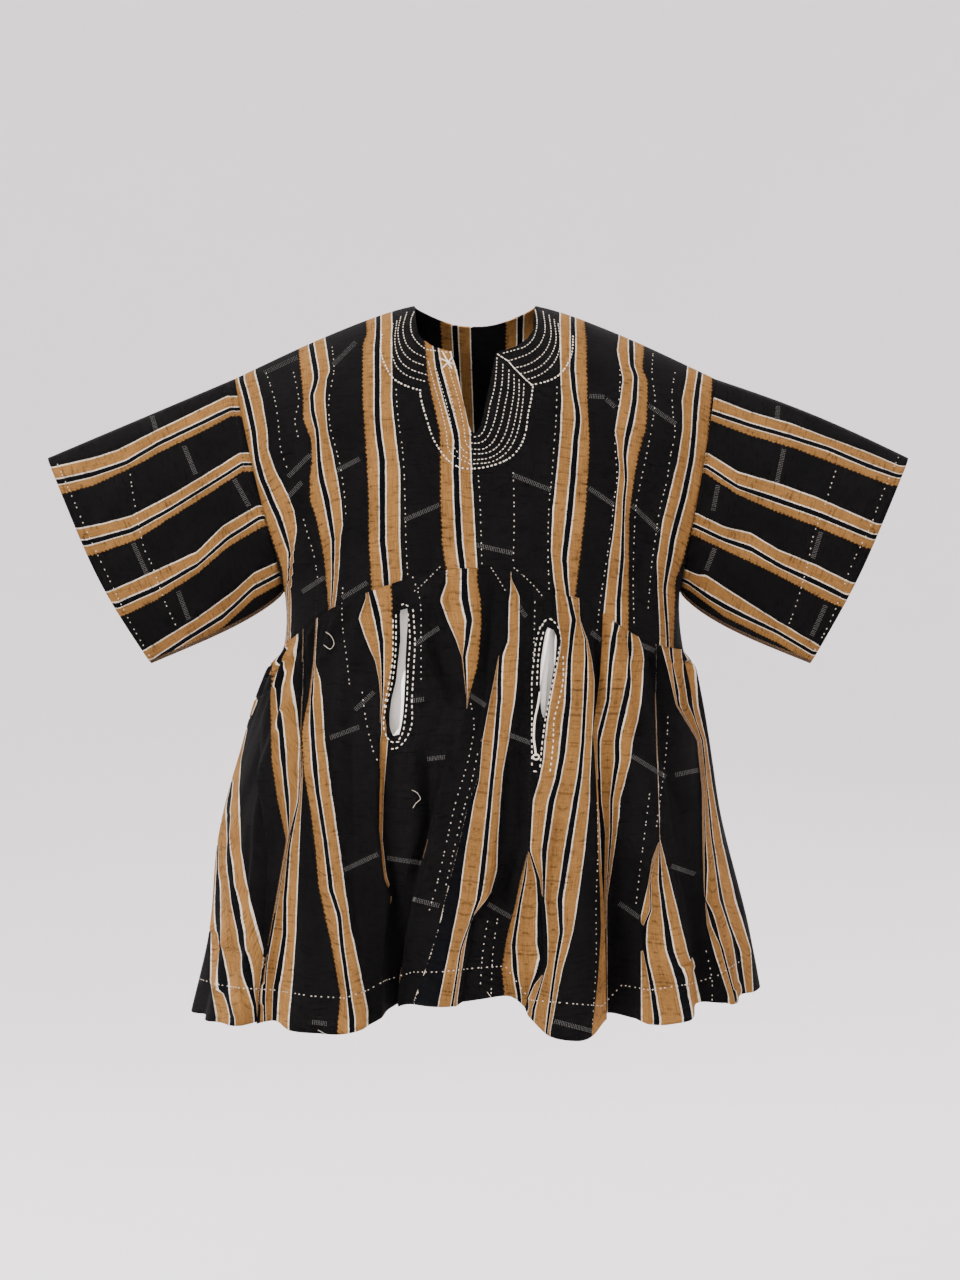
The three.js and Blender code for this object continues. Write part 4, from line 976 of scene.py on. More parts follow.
class Thread:
    """Stitches and cords that follow the cloth, joined into one mesh."""

    RING = 5

    def __init__(self, seed):
        self.random = np.random.default_rng(seed)
        self.verts, self.faces, self.count = [], [], 0

    def stitches(self, centres, tangents, normals, length, width, height):
        """Grains of thread: a ring near each end, closed by a tip."""
        if len(centres) == 0:
            return
        side = np.cross(normals, tangents)
        side /= np.maximum(np.linalg.norm(side, axis=1, keepdims=True), 1e-9)
        turns = np.linspace(0, 2 * math.pi, self.RING + 1)[:-1] + math.pi / 2
        profile = [(-0.5, 0, 0)]
        for place in (-0.3, 0.3):
            profile += [(place, math.cos(t), math.sin(t)) for t in turns]
        profile.append((0.5, 0, 0))
        profile = np.array(profile)
        size = np.broadcast_to(np.stack(np.broadcast_arrays(length, width, height), -1), (len(centres), 3))
        grain = (centres[:, None] + tangents[:, None] * profile[None, :, :1] * size[:, None, :1]
                 + side[:, None] * profile[None, :, 1:2] * size[:, None, 1:2] / 2
                 + normals[:, None] * profile[None, :, 2:] * size[:, None, 2:] / 2)
        n = self.RING
        tips = [(0, 1 + (i + 1) % n, 1 + i) for i in range(n)]
        tips += [(2 * n + 1, n + 1 + i, n + 1 + (i + 1) % n) for i in range(n)]
        body = [(1 + i, 1 + (i + 1) % n, n + 1 + (i + 1) % n, n + 1 + i) for i in range(n)]
        for k in range(len(centres)):
            start = self.count + k * len(profile)
            self.faces += [tuple(start + i for i in face) for face in tips + body]
        self.verts.append(grain.reshape(-1, 3))
        self.count += len(centres) * len(profile)

    def row(self, points, normals, pitch, length, width=1.3, height=0.9, across=False, jitter=0.12):
        """Stitches every pitch millimetres along a path, or across it; gaps where it leaps."""
        points, normals = np.asarray(points), np.asarray(normals)
        steps = np.linalg.norm(np.diff(points, axis=0), axis=1)
        for piece in np.split(np.arange(len(points)), np.nonzero(steps > LEAP)[0] + 1):
            if len(piece) < 3:
                continue
            path = np.concatenate([[0], np.cumsum(steps[piece[:-1]])])
            spots = np.arange(pitch / 2, path[-1], pitch)
            spots = spots + self.random.uniform(-jitter, jitter, len(spots)) * pitch
            centre = np.stack([np.interp(spots, path, points[piece, k]) for k in range(3)], 1)
            ahead = np.stack([np.interp(spots + 1.5, path, points[piece, k]) for k in range(3)], 1)
            behind = np.stack([np.interp(spots - 1.5, path, points[piece, k]) for k in range(3)], 1)
            normal = np.stack([np.interp(spots, path, normals[piece, k]) for k in range(3)], 1)
            normal /= np.maximum(np.linalg.norm(normal, axis=1, keepdims=True), 1e-9)
            tangent = ahead - behind
            tangent -= normal * (tangent * normal).sum(1, keepdims=True)
            tangent /= np.maximum(np.linalg.norm(tangent, axis=1, keepdims=True), 1e-9)
            if across:
                tangent = np.cross(normal, tangent)
            lengths = length * self.random.uniform(0.85, 1.15, len(spots))
            self.stitches(centre + normal * 0.15, tangent, normal, lengths, width, height)

    def cord(self, points, normals, radius, lift=0.5):
        """A continuous round thread along a path on the cloth."""
        if len(points) < 3:
            return
        points = np.asarray(points) + np.asarray(normals) * lift
        tangent = np.gradient(points, axis=0)
        tangent /= np.maximum(np.linalg.norm(tangent, axis=1, keepdims=True), 1e-9)
        side = np.cross(np.asarray(normals), tangent)
        side /= np.maximum(np.linalg.norm(side, axis=1, keepdims=True), 1e-9)
        up = np.cross(tangent, side)
        n = self.RING + 1
        turns = np.linspace(0, 2 * math.pi, n + 1)[:-1]
        turned = (side[:, None] * np.cos(turns)[None, :, None]
                  + up[:, None] * np.sin(turns)[None, :, None])
        ring = points[:, None] + radius * turned
        for r in range(len(points) - 1):
            for k in range(n):
                a, b = self.count + r * n + k, self.count + r * n + (k + 1) % n
                self.faces.append((a, b, b + n, a + n))
        self.faces.append(tuple(self.count + k for k in range(n))[::-1])
        last = self.count + (len(points) - 1) * n
        self.faces.append(tuple(last + k for k in range(n)))
        self.verts.append(ring.reshape(-1, 3))
        self.count += len(points) * n

    def build(self, name, material, slot):
        mesh = bpy.data.meshes.new(name)
        mesh.from_pydata((np.concatenate(self.verts) * MM).tolist(), [], self.faces)
        mesh.polygons.foreach_set("use_smooth", np.ones(len(self.faces), bool))
        mesh.materials.append(material)
        piece = add_object(name, mesh)
        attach(piece, "root")
        return piece


LEAP = 9.0  # millimetres: a longer step between samples is a jump from one fold to another


class Cloth:
    """Finds the cloth's surface under a pixel of the photograph."""

    def __init__(self, pieces, face=FRONT):
        self.face = face
        verts, faces = [], []
        for piece in pieces:
            start = len(verts)
            verts += [v.co.copy() for v in piece.data.vertices]
            faces += [tuple(start + i for i in p.vertices) for p in piece.data.polygons]
        self.tree = BVHTree.FromPolygons(verts, faces)

    def under(self, px, py):
        eye = Vector((CAMERA["x"], self.face * CAMERA["distance"], CAMERA["z"])) * MM
        aim = Vector(((px - CAMERA["width"] / 2) * CAMERA["pixel"], -self.face * CAMERA["distance"],
                      (CAMERA["height"] / 2 - py) * CAMERA["pixel"]))
        place, normal, _, _ = self.tree.ray_cast(eye, aim.normalized())
        if place is None:
            return None
        if normal.dot(aim) > 0:
            normal = -normal
        return np.array(place) / MM, np.array(normal)

    def path(self, *corners, step=1.2, curved=False):
        """Points and normals on the cloth along a line of (column, row) pixels."""
        corners = np.array(corners, float)
        lengths = np.concatenate([[0], np.cumsum(np.linalg.norm(np.diff(corners, axis=0), axis=1))])
        places = np.arange(0, lengths[-1] + step / 2, step)
        if curved and len(corners) > 2:
            xs, ys = (Curve(lengths, corners[:, k])(places) for k in (0, 1))
        else:
            xs, ys = (np.interp(places, lengths, corners[:, k]) for k in (0, 1))
        found = [self.under(x, y) for x, y in zip(xs, ys)]
        found = [f for f in found if f is not None]
        if not found:
            return np.zeros((0, 3)), np.zeros((0, 3))
        return np.array([f[0] for f in found]), smooth_normals(np.array([f[1] for f in found]))


def smooth_normals(normals):
    """Face normals along a path, averaged over their neighbours."""
    padded = np.concatenate([normals[:1], normals[:1], normals, normals[-1:], normals[-1:]])
    mean = sum(padded[i:i + len(normals)] for i in range(5))
    return mean / np.maximum(np.linalg.norm(mean, axis=1, keepdims=True), 1e-9)


# Rows of the embroidered collar, (column, row) pixels from the shoulder to the front slit.
COLLAR_LEFT = [
    [(417, 306), (411, 320), (412, 334), (418, 343), (426, 349), (438, 351), (452, 353)],
    [(407, 312), (403, 328), (406, 343), (414, 352), (426, 358)],
    [(401, 316), (398, 333), (402, 350), (411, 360), (426, 366)],
    [(397, 320), (395, 343), (400, 360), (410, 369), (427, 375)],
    [(393, 323), (391, 348), (397, 367), (408, 376), (427, 382)],
]
COLLAR_RIGHT = [
    [(535, 307), (537, 323), (534, 337), (526, 346), (515, 350), (500, 354)],
    [(543, 311), (545, 330), (540, 344), (530, 353), (518, 358), (508, 361)],
    [(549, 315), (551, 335), (546, 350), (536, 360), (524, 366), (513, 368)],
    [(554, 319), (556, 340), (551, 355), (541, 366), (528, 372), (519, 374)],
    [(558, 323), (560, 345), (555, 361), (546, 371), (535, 377), (525, 380)],
]
COLLAR_RIM_LEFT = [(382, 334), (381, 352), (386, 367), (393, 378), (402, 384), (412, 388), (423, 391)]
COLLAR_RIM_RIGHT = [(573, 335), (572, 352), (567, 365), (559, 375), (548, 381), (532, 385)]
PLACKET = [
    [(497, 357), (496, 375), (494, 390), (490, 405), (487, 420), (484, 430), (479, 436), (472, 437)],
    [(503, 363), (502, 383), (499, 400), (496, 415), (492, 428), (486, 439), (479, 443), (470, 443)],
    [(509, 369), (508, 390), (505, 405), (502, 420), (498, 432), (492, 443), (483, 449), (470, 449)],
    [(514, 374), (514, 390), (512, 405), (509, 420), (505, 434), (497, 447), (486, 453), (470, 454)],
    [(519, 379), (519, 395), (517, 410), (514, 425), (510, 438), (502, 450), (489, 458), (470, 460)],
    [(524, 383), (523, 400), (521, 415), (518, 430), (513, 443), (505, 454), (491, 462), (470, 464)],
]
PLACKET_RIM = [(533, 386), (531, 400), (528, 415), (526, 430), (521, 445), (511, 457), (497, 464),
    (480, 468), (462, 468),
               (449, 461), (440, 450), (433, 438), (427, 420), (422, 403), (420, 392)]
PLACKET_LEFT = [
    [(452, 356), (458, 375), (465, 400), (470, 425), (471, 436)],
    [(446, 357), (452, 378), (459, 402), (464, 428), (466, 443), (471, 449)],
    [(439, 357), (446, 380), (453, 404), (458, 430), (461, 447), (470, 455)],
    [(433, 358), (440, 382), (447, 406), (452, 430), (455, 449), (470, 460)],
    [(428, 360), (434, 384), (441, 408), (446, 430), (450, 452), (470, 464)],
]
MITRE = [(497, 354), (508, 361), (514, 368), (520, 374), (526, 380), (532, 385)]

# Running stitches down the black of the strips and round the pockets.
SEAM_ROWS = [
    [(266, 372), (272, 390), (276, 405), (279, 430), (281, 450), (287, 468)],
    [(293, 370), (297, 388), (299, 402), (295, 420), (299, 440)],
    [(303, 517), (308, 535), (312, 548), (315, 560), (318, 580)],
    [(332, 345), (334, 370), (329, 400), (330, 425), (335, 445), (340, 465), (344, 490), (346, 515)],
    [(396, 385), (397, 405), (399, 425), (402, 445), (404, 470), (405, 500), (406, 540), (408, 580)],
    [(478, 472), (480, 500), (481, 530), (482, 565)],
    [(513, 470), (514, 500), (514, 530), (513, 568)],
    [(557, 385), (556, 420), (554, 445), (552, 475), (549, 505), (548, 545), (549, 590)],
    [(619, 352), (620, 380), (618, 412), (615, 440), (617, 480), (614, 500), (611, 530), (605, 570),
        (600, 602), (597, 630)],
    [(653, 352), (652, 375), (655, 400), (652, 425), (647, 452), (641, 480), (636, 505), (634, 540),
        (633, 580), (634, 625)],
    [(675, 372), (672, 392), (673, 415), (675, 432), (670, 458), (667, 480), (660, 508), (655, 540),
        (651, 570), (648, 610)],
    [(343, 585), (342, 610), (343, 630), (347, 660), (350, 690)],
    [(362, 690), (366, 720), (373, 750), (378, 762)],
    [(412, 575), (420, 600), (421, 640), (421, 680)],
    [(470, 700), (474, 725), (470, 752), (464, 775), (455, 805), (447, 840), (438, 880), (428, 915)],
    [(478, 752), (472, 780), (463, 812), (455, 845), (446, 885)],
    [(535, 600), (534, 640), (533, 660)],
    [(597, 800), (598, 850), (596, 900), (596, 960), (592, 1030)],
    [(668, 712), (667, 740), (664, 770), (660, 800), (656, 830)],
    [(650, 790), (645, 830), (640, 870), (636, 905)],
    [(706, 950), (712, 980), (712, 1005)],
    [(130, 472), (132, 488), (135, 505), (144, 548), (152, 565), (165, 602), (178, 630)],
    [(57, 463), (74, 501), (84, 525), (103, 566), (129, 620), (149, 655)],
    [(837, 467), (831, 485), (826, 502), (813, 537), (808, 563), (795, 608), (787, 629)],
    [(899, 456), (884, 490), (870, 527), (853, 562), (831, 620), (813, 653)],
    [(488, 918), (483, 950), (480, 990)],
    [(498, 915), (493, 950), (491, 995)],
]
HEM_ROW = [
    (197, 978), (215, 984), (240, 988), (275, 990), (310, 996), (345, 998), (368, 990), (386, 980),
        (413, 972), (440, 972),
    (475, 968), (505, 966), (530, 1000), (565, 1003), (602, 1006), (622, 985), (650, 990), (690, 984),
        (717, 976), (742, 960),
]
PLEAT_ROWS = [
    [(513, 567), (525, 577), (535, 587), (543, 597)],
    [(490, 566), (498, 578), (505, 590)],
    [(441, 566), (430, 577), (420, 587), (413, 592)],
]
POCKET_ROWS = [
    [(408, 612), (410, 640), (408, 670), (407, 700), (405, 720), (403, 732), (399, 740)],
    [(413, 608), (415, 640), (414, 665), (412, 700), (412, 722), (409, 733), (404, 742), (397, 748),
        (391, 749)],
    [(396, 613), (396, 640), (395, 660), (392, 683), (387, 702), (384, 718), (384, 728), (387, 737),
        (392, 742), (398, 742)],
    [(393, 618), (393, 645), (392, 665), (388, 688), (384, 708)],
    [(400, 606), (404, 604), (409, 607)],
    [(544, 630), (540, 645), (538, 662), (537, 685)],
    [(541, 625), (536, 642), (534, 660), (532, 680), (532, 700), (532, 730), (532, 765)],
    [(541, 628), (545, 621), (550, 619), (555, 623), (559, 630), (561, 640)],
    [(560, 645), (557, 660), (553, 680), (549, 700), (545, 722), (542, 745), (540, 768)],
    [(563, 655), (563, 680), (559, 700), (554, 720), (553, 745), (550, 772)],
    [(532, 771), (540, 772)],
]
POCKET_CORD = [(540, 692), (538, 705), (535, 720), (534, 738), (535, 748), (536, 756)]
LOOSE_THREADS = [
    [(326, 632), (331, 636), (334, 644), (330, 649), (324, 645)],
    [(412, 790), (417, 793), (420, 799), (416, 803), (413, 808)],
    [(487, 992), (492, 998), (497, 1001)],
    [(318, 1030), (326, 1034), (333, 1036)],
]
BAR_TACK = [[(443, 353), (452, 369)], [(452, 358), (443, 368)], [(441, 359), (453, 364)]]

# Pale weft marks of the weaver, from end to end.
WEFT_MARKS = [
    [(264, 373), (298, 357)], [(333, 365), (356, 342)], [(288, 477), (311, 454)], [(288, 497), (302, 482)],
    [(336, 471), (361, 458)], [(404, 520), (439, 505)], [(476, 545), (512, 553)], [(513, 475), (551, 490)],
    [(589, 396), (604, 397)], [(606, 399), (616, 408)], [(589, 488), (614, 505)], [(648, 405), (676, 424)],
    [(632, 505), (659, 531)], [(302, 592), (325, 577)], [(342, 598), (368, 582)], [(355, 710), (374, 692)],
    [(330, 738), (359, 727)], [(344, 870), (378, 854)], [(387, 858), (421, 863)], [(427, 759), (445, 757)],
    [(413, 899), (440, 906)], [(414, 645), (440, 627)], [(470, 695), (486, 706)], [(507, 734), (531, 743)],
    [(488, 904), (512, 918)], [(632, 756), (666, 777)], [(675, 775), (698, 770)], [(671, 866), (695, 874)],
    [(619, 903), (640, 918)], [(640, 644), (655, 651)], [(410, 701), (425, 699)], [(554, 1021), (592, 1031)],
    [(184, 446), (196, 475)], [(234, 479), (249, 506)], [(133, 543), (147, 574)], [(178, 591), (189, 620)],
    [(152, 416), (156, 430)], [(784, 449), (777, 482)], [(718, 485), (713, 511)], [(715, 548), (706, 571)],
    [(821, 532), (813, 558)], [(826, 605), (811, 637)], [(778, 406), (777, 420)], [(312, 1022),
        (328, 1024)], [(591, 632), (601, 640)], [(518, 605), (526, 617)],
]


# Sizes of the stitches, in millimetres; jitter is a share of the pitch.
COLLAR_STITCH = {"pitch": 4.1, "length": 2.5, "width": 1.0, "height": 0.8}
PLACKET_STITCH = {"pitch": 4.1, "length": 2.2, "width": 0.8, "height": 0.6}
RIM_STITCH = {"pitch": 4.3, "length": 2.7, "width": 1.7, "height": 1.1, "jitter": 0.2}
MITRE_STITCH = {"pitch": 2.2, "length": 2.2, "width": 1.3, "height": 1.0, "jitter": 0.3}
RUNNING_STITCH = {"pitch": 7.2, "length": 1.7, "width": 0.95, "height": 0.7, "jitter": 0.3}
HEM_STITCH = {"pitch": 6.4, "length": 2.0, "width": 1.0, "height": 0.7, "jitter": 0.25}
PLEAT_STITCH = {"pitch": 4.6, "length": 1.8, "width": 0.8, "height": 0.6, "jitter": 0.25}
POCKET_STITCH = {"pitch": 6.0, "length": 3.6, "width": 1.5, "height": 1.0, "jitter": 0.1}
WEFT_STITCH = {"pitch": 1.9, "length": 1.5, "width": 0.6, "height": 0.3, "jitter": 0.15}
SELVEDGE_STITCH = {"pitch": 3.4, "length": 2.4, "width": 0.9, "height": 0.5, "jitter": 0.25}


def stitch_front(cloth):
    """The collar, the pockets and the running stitches that the photograph shows."""
    collar = Thread(1)
    for row in COLLAR_LEFT + COLLAR_RIGHT + PLACKET:
        collar.row(*cloth.path(*row, curved=True), **COLLAR_STITCH)
    for row in PLACKET_LEFT:
        collar.row(*cloth.path(*row, curved=True), **PLACKET_STITCH)
    for rim in (COLLAR_RIM_LEFT, COLLAR_RIM_RIGHT, PLACKET_RIM):
        collar.row(*cloth.path(*rim, curved=True), **RIM_STITCH)
    collar.row(*cloth.path(*MITRE), **MITRE_STITCH)
    for stroke in BAR_TACK:
        collar.cord(*cloth.path(*stroke), 0.7)
    collar.build("collar_embroidery", THREAD, "white_cotton")

    seams = Thread(2)
    for row in SEAM_ROWS:
        seams.row(*cloth.path(*row, curved=True), **RUNNING_STITCH)
    seams.row(*cloth.path(*HEM_ROW), **HEM_STITCH)
    for row in PLEAT_ROWS:
        seams.row(*cloth.path(*row), **PLEAT_STITCH)
    for row in POCKET_ROWS:
        seams.row(*cloth.path(*row, curved=True), **POCKET_STITCH)
    seams.cord(*cloth.path(*POCKET_CORD, curved=True), 1.1)
    turn = np.linspace(0, 2 * math.pi, 15)
    loop = [(536 + 3 * math.cos(t), 757 + 2.6 * math.sin(t)) for t in turn]
    seams.cord(*cloth.path(*loop), 0.9, lift=0.8)
    for thread in LOOSE_THREADS:
        seams.cord(*cloth.path(*thread, curved=True, step=0.8), 0.2)
    seams.build("front_running_stitches", THREAD, "white_cotton")


STITCHED_AT = 0.72  # share of a strip's width where its running stitches lie
RING_OFFSETS = [3, 9, 15, 20, 24.5]  # collar rows, in millimetres from the neck's edge
RIM_OFFSET = 33
RAY_FROM_Z = 150  # above the shoulders
BACK_COLLAR_LOWEST = -60
BACK_MARKS = 30


def strip_rows(surface, downs, strip_of):
    """Paths down a back panel, one along the black of every strip."""
    across = np.linspace(0.02, 0.98, 500)
    for strip in range(-1, BACK_STRIPS + 1):
        places = [np.interp(strip + STITCHED_AT, strip_of(across, down), across, np.nan, np.nan)
                  for down in downs]
        kept = [(place, down) for place, down in zip(places, downs) if not np.isnan(place)]
        if len(kept) > 4:
            yield surface(*np.array(kept).T)


def stitch_back(pieces):
    """Running stitches, collar rows and hem on the hidden side, in the front's manner."""
    cloth = Cloth(pieces, BACK)
    thread = Thread(5)
    panels = [
        (lambda across, down: yoke_point(BACK, across, down), np.linspace(0.12, 0.97, 50),
         lambda across, down: back_yoke_strips(across)),
        (lambda across, down: skirt_point(BACK, across, down), np.linspace(0.02, 0.93, 60),
         back_skirt_strips),
    ]
    for surface, downs, strip_of in panels:
        for points in strip_rows(surface, downs, strip_of):
            px, py = to_pixels(points * [1, -1, 1])
            thread.row(*cloth.path(*zip(px, py)), **RUNNING_STITCH)
    hem = skirt_point(BACK, np.linspace(0.03, 0.97, 120), 0.93)
    px, py = to_pixels(hem * [1, -1, 1])
    thread.row(*cloth.path(*zip(px, py)), **HEM_STITCH)
    turns = np.linspace(0.02, math.pi - 0.02, 160)
    for offset in RING_OFFSETS + [RIM_OFFSET]:
        x = SHOULDER["centre"] + (SHOULDER["neck"] + offset) * np.cos(turns)
        y = (NECK_BACK_DEPTH + offset) * np.sin(turns)
        hits = [cloth.tree.ray_cast(Vector((a, b, RAY_FROM_Z)) * MM, Vector((0, 0, -1)))
                for a, b in zip(x, y)]
        hits = [hit for hit in hits if hit[0] is not None and hit[0].z > BACK_COLLAR_LOWEST * MM]
        points = np.array([hit[0] for hit in hits]) / MM
        normals = np.array([hit[1] if hit[1].z > 0 else -hit[1] for hit in hits])
        thread.row(points, smooth_normals(normals), **COLLAR_STITCH)
    thread.build("back_running_stitches", THREAD, "white_cotton")
    random = np.random.default_rng(8)
    marks = []
    for _ in range(BACK_MARKS):
        x, y = random.uniform(250, 690), random.uniform(390, 980)
        long, tilt = random.uniform(18, 36), random.uniform(-0.35, 0.35)
        marks.append([(x, y), (x + long * math.cos(tilt), y + long * math.sin(tilt))])
    weft_marks(cloth, marks, "back_weft_marks")


def weft_marks(cloth, lines, name):
    marks = Thread(3)
    for start, end in lines:
        (x0, y0), (x1, y1) = start, end
        length = math.hypot(x1 - x0, y1 - y0)
        for offset in (-1.6, 0, 1.6):
            shift = (-(y1 - y0) / length * offset, (x1 - x0) / length * offset)
            points, normals = cloth.path((x0 + shift[0], y0 + shift[1]), (x1 + shift[0], y1 + shift[1]))
            if len(points) > 3:
                marks.row(points, normals, across=True, **WEFT_STITCH)
    marks.build(name, WEFT_THREAD, "white_cotton")


def overcast_front(cloth):
    """Small dark stitches over the raw selvedges, which give them their saw-toothed edge."""
    teeth = Thread(4)
    lines = [points for distance, points in YOKE_LINES if distance % STRIP == 0 and distance != MIDDLE_SEAM]
    lines += [points for left, right, points in SKIRT_LINES
              if SELVEDGE in (left, right) and NEXT in (left, right)]
    for points in lines:
        rows = np.arange(points[0, 0], points[-1, 0], 1.2)
        path = [(column_at(points, y), y) for y in rows]
        teeth.row(*cloth.path(*path), across=True, **SELVEDGE_STITCH)
    teeth.build("selvedge_stitches", DARK_THREAD, "striped_cotton")


# ---- materials ----

class Nodes:
    """Short ways to add and join shader nodes."""

    def __init__(self, name):
        self.material = bpy.data.materials.new(name)
        self.material.use_nodes = True
        self.tree = self.material.node_tree
        self.shader = self.tree.nodes["Principled BSDF"]

    def add(self, kind, **settings):
        node = self.tree.nodes.new(kind)
        for key, value in settings.items():
            setattr(node, key, value)
        return node

    def join(self, source, target):
        self.tree.links.new(source, target)

    def put(self, value, socket):
        if hasattr(value, "links"):
            self.join(value, socket)
        else:
            socket.default_value = value

    def math(self, operation, a, b=0.0):
        node = self.add("ShaderNodeMath", operation=operation)
        self.put(a, node.inputs[0])
        self.put(b, node.inputs[1])
        return node.outputs[0]

    def noise(self, vector, scale, detail=2.0):
        node = self.add("ShaderNodeTexNoise")
        self.join(vector, node.inputs["Vector"])
        node.inputs["Scale"].default_value = scale
        node.inputs["Detail"].default_value = detail
        return node.outputs["Fac"]

    def vector(self, x, y):
        node = self.add("ShaderNodeCombineXYZ")
        self.put(x, node.inputs[0])
        self.put(y, node.inputs[1])
        return node.outputs[0]

    def shaded(self, colour, share):
        """A colour times a grey share."""
        grey = self.add("ShaderNodeCombineColor")
        for socket in grey.inputs[:3]:
            self.join(share, socket)
        node = self.add("ShaderNodeMix", data_type="RGBA", blend_type="MULTIPLY")
        node.inputs["Factor"].default_value = 1.0
        a, b = node.inputs[6], node.inputs[7]
        if hasattr(colour, "links"):
            self.join(colour, a)
        else:
            a.default_value = (*colour, 1)
        self.join(grey.outputs[0], b)
        return node.outputs[2]

    def bump(self, height, distance, strength=0.6):
        node = self.add("ShaderNodeBump")
        node.inputs["Strength"].default_value = strength
        node.inputs["Distance"].default_value = distance
        self.join(height, node.inputs["Height"])
        self.join(node.outputs[0], self.shader.inputs["Normal"])

    def finish(self, colour, **sockets):
        self.join(colour, self.shader.inputs["Base Color"])
        for name, value in sockets.items():
            self.shader.inputs[name.replace("_", " ")].default_value = value
        return self.material


def linear(red, green, blue):
    """sRGB 0 to 255 as linear light."""
    return tuple(((v / 255 + 0.055) / 1.055) ** 2.4 if v > 10 else v / 255 / 12.92
                 for v in (red, green, blue))


TAN = linear(147, 105, 57)
BLACK = linear(13, 12, 12)
NAVY_BLUE = linear(5, 6, 9)
WHITE = linear(222, 208, 188)
# Distance from the selvedge where each stripe of a strip starts.
STRIPES = [
    (0, TAN), (12.7, WHITE), (14.2, NAVY_BLUE), (20.3, WHITE), (21.8, TAN), (33.9, WHITE), (35.4, BLACK),
]


TOOTH = 5.2  # millimetres between the overcasting stitches of a selvedge


def strip_material():
    nodes = Nodes("striped_cotton")
    split = nodes.add("ShaderNodeSeparateXYZ")
    nodes.join(nodes.add("ShaderNodeUVMap", uv_map="Strips").outputs[0], split.inputs[0])
    strip, warp = split.outputs[0], split.outputs[1]
    across = nodes.math("MULTIPLY", strip, STRIP)
    place = nodes.vector(across, warp)
    # the weaver's slightly uneven edges
    wobble = nodes.math("SUBTRACT", nodes.noise(place, 0.05), 0.5)
    ragged = nodes.math("SUBTRACT", nodes.noise(place, 0.5, 1.0), 0.5)
    uneven = nodes.math("ADD", nodes.math("MULTIPLY", wobble, 1.2), nodes.math("MULTIPLY", ragged, 0.8))
    share = nodes.math("FRACT", nodes.math("DIVIDE", nodes.math("ADD", across, uneven), STRIP))
    ramp = nodes.add("ShaderNodeValToRGB")
    ramp.color_ramp.interpolation = "CONSTANT"
    while len(ramp.color_ramp.elements) < len(STRIPES):
        ramp.color_ramp.elements.new(0.5)
    for element, (start, colour) in zip(ramp.color_ramp.elements, STRIPES):
        element.position = start / STRIP
        element.color = (*colour, 1)
    nodes.join(share, ramp.inputs[0])
    # raw selvedge, drawn into teeth by its overcasting
    from_selvedge = nodes.math("MULTIPLY", share, STRIP)
    along_teeth = nodes.math("MULTIPLY", warp, math.pi / TOOTH)
    phase = nodes.math("ADD", along_teeth, nodes.math("MULTIPLY", ragged, 3.0))
    tooth = nodes.math("ABSOLUTE", nodes.math("SINE", phase))
    shortfall = nodes.math("MULTIPLY", tooth, 1.7)
    on_cloth = nodes.math("GREATER_THAN", from_selvedge, shortfall)
    edge_tone = nodes.math("ADD", nodes.math("MULTIPLY", on_cloth, 0.9), 0.1)
    # puckers along the selvedge: a bump, and painted shade where they darken the colour
    near_selvedge = nodes.math("EXPONENT", nodes.math("MULTIPLY", from_selvedge, -0.28))
    pucker = nodes.math("MULTIPLY", near_selvedge, tooth)
    # thin dark streaks along the warp
    streak_place = nodes.vector(nodes.math("MULTIPLY", across, 1.6), nodes.math("MULTIPLY", warp, 0.03))
    streak_noise = nodes.noise(streak_place, 1.0, 2.0)
    streak = nodes.math("MULTIPLY", nodes.math("GREATER_THAN", streak_noise, 0.58), 0.3)
    # uneven dye and slubs, long along the warp
    slub = nodes.noise(nodes.vector(across, nodes.math("MULTIPLY", warp, 0.12)), 0.9, 3.0)
    weft_slub = nodes.noise(nodes.vector(nodes.math("MULTIPLY", across, 0.15), warp), 0.8, 2.0)
    cloud = nodes.noise(place, 0.02, 3.0)
    uneven_dye = nodes.math("ADD", nodes.math("MULTIPLY", slub, 0.8), nodes.math("MULTIPLY", weft_slub, 0.7))
    tone = nodes.math("ADD", nodes.math("ADD", uneven_dye, nodes.math("MULTIPLY", cloud, 0.8)), -0.1)
    # threads: warp ribs crossed by the weft
    ribs = nodes.math("SINE", nodes.math("MULTIPLY", across, 2 * math.pi / 0.9))
    picks = nodes.math("SINE", nodes.math("MULTIPLY", warp, 2 * math.pi / 1.25))
    threads = nodes.math("MULTIPLY", ribs, picks)
    between = nodes.math("ADD", nodes.math("MULTIPLY", threads, 0.07), 0.95)
    # short creases across the band, as hand sewing draws them in; they dent the bump and darken the colour
    # as painted shade
    crease_place = nodes.vector(nodes.math("MULTIPLY", across, 0.07), nodes.math("MULTIPLY", warp, 0.3))
    creased = nodes.add("ShaderNodeMapRange", interpolation_type="SMOOTHSTEP")
    nodes.join(nodes.noise(crease_place, 1.0, 3.0), creased.inputs["Value"])
    creased.inputs["From Min"].default_value = 0.52
    creased.inputs["From Max"].default_value = 0.72
    creased = creased.outputs[0]
    # painted shade: the colour is darkened in the selvedge puckers and in the creases
    marks = nodes.math("ADD", nodes.math("MULTIPLY", pucker, 0.3), nodes.math("MULTIPLY", creased, 0.5))
    tone = nodes.math("SUBTRACT", tone, nodes.math("ADD", streak, marks))
    colour = nodes.shaded(nodes.shaded(nodes.shaded(ramp.outputs[0], tone), between), edge_tone)
    weave = nodes.math("ADD", nodes.math("MULTIPLY", threads, 0.5), nodes.math("MULTIPLY", slub, 1.2))
    drawn_in = nodes.math("ADD", nodes.math("MULTIPLY", pucker, 1.6), nodes.math("MULTIPLY", creased, 1.5))
    nodes.bump(nodes.math("SUBTRACT", weave, drawn_in), 0.0011, 0.85)
    return nodes.finish(colour, Roughness=0.9, Specular_IOR_Level=0.06)


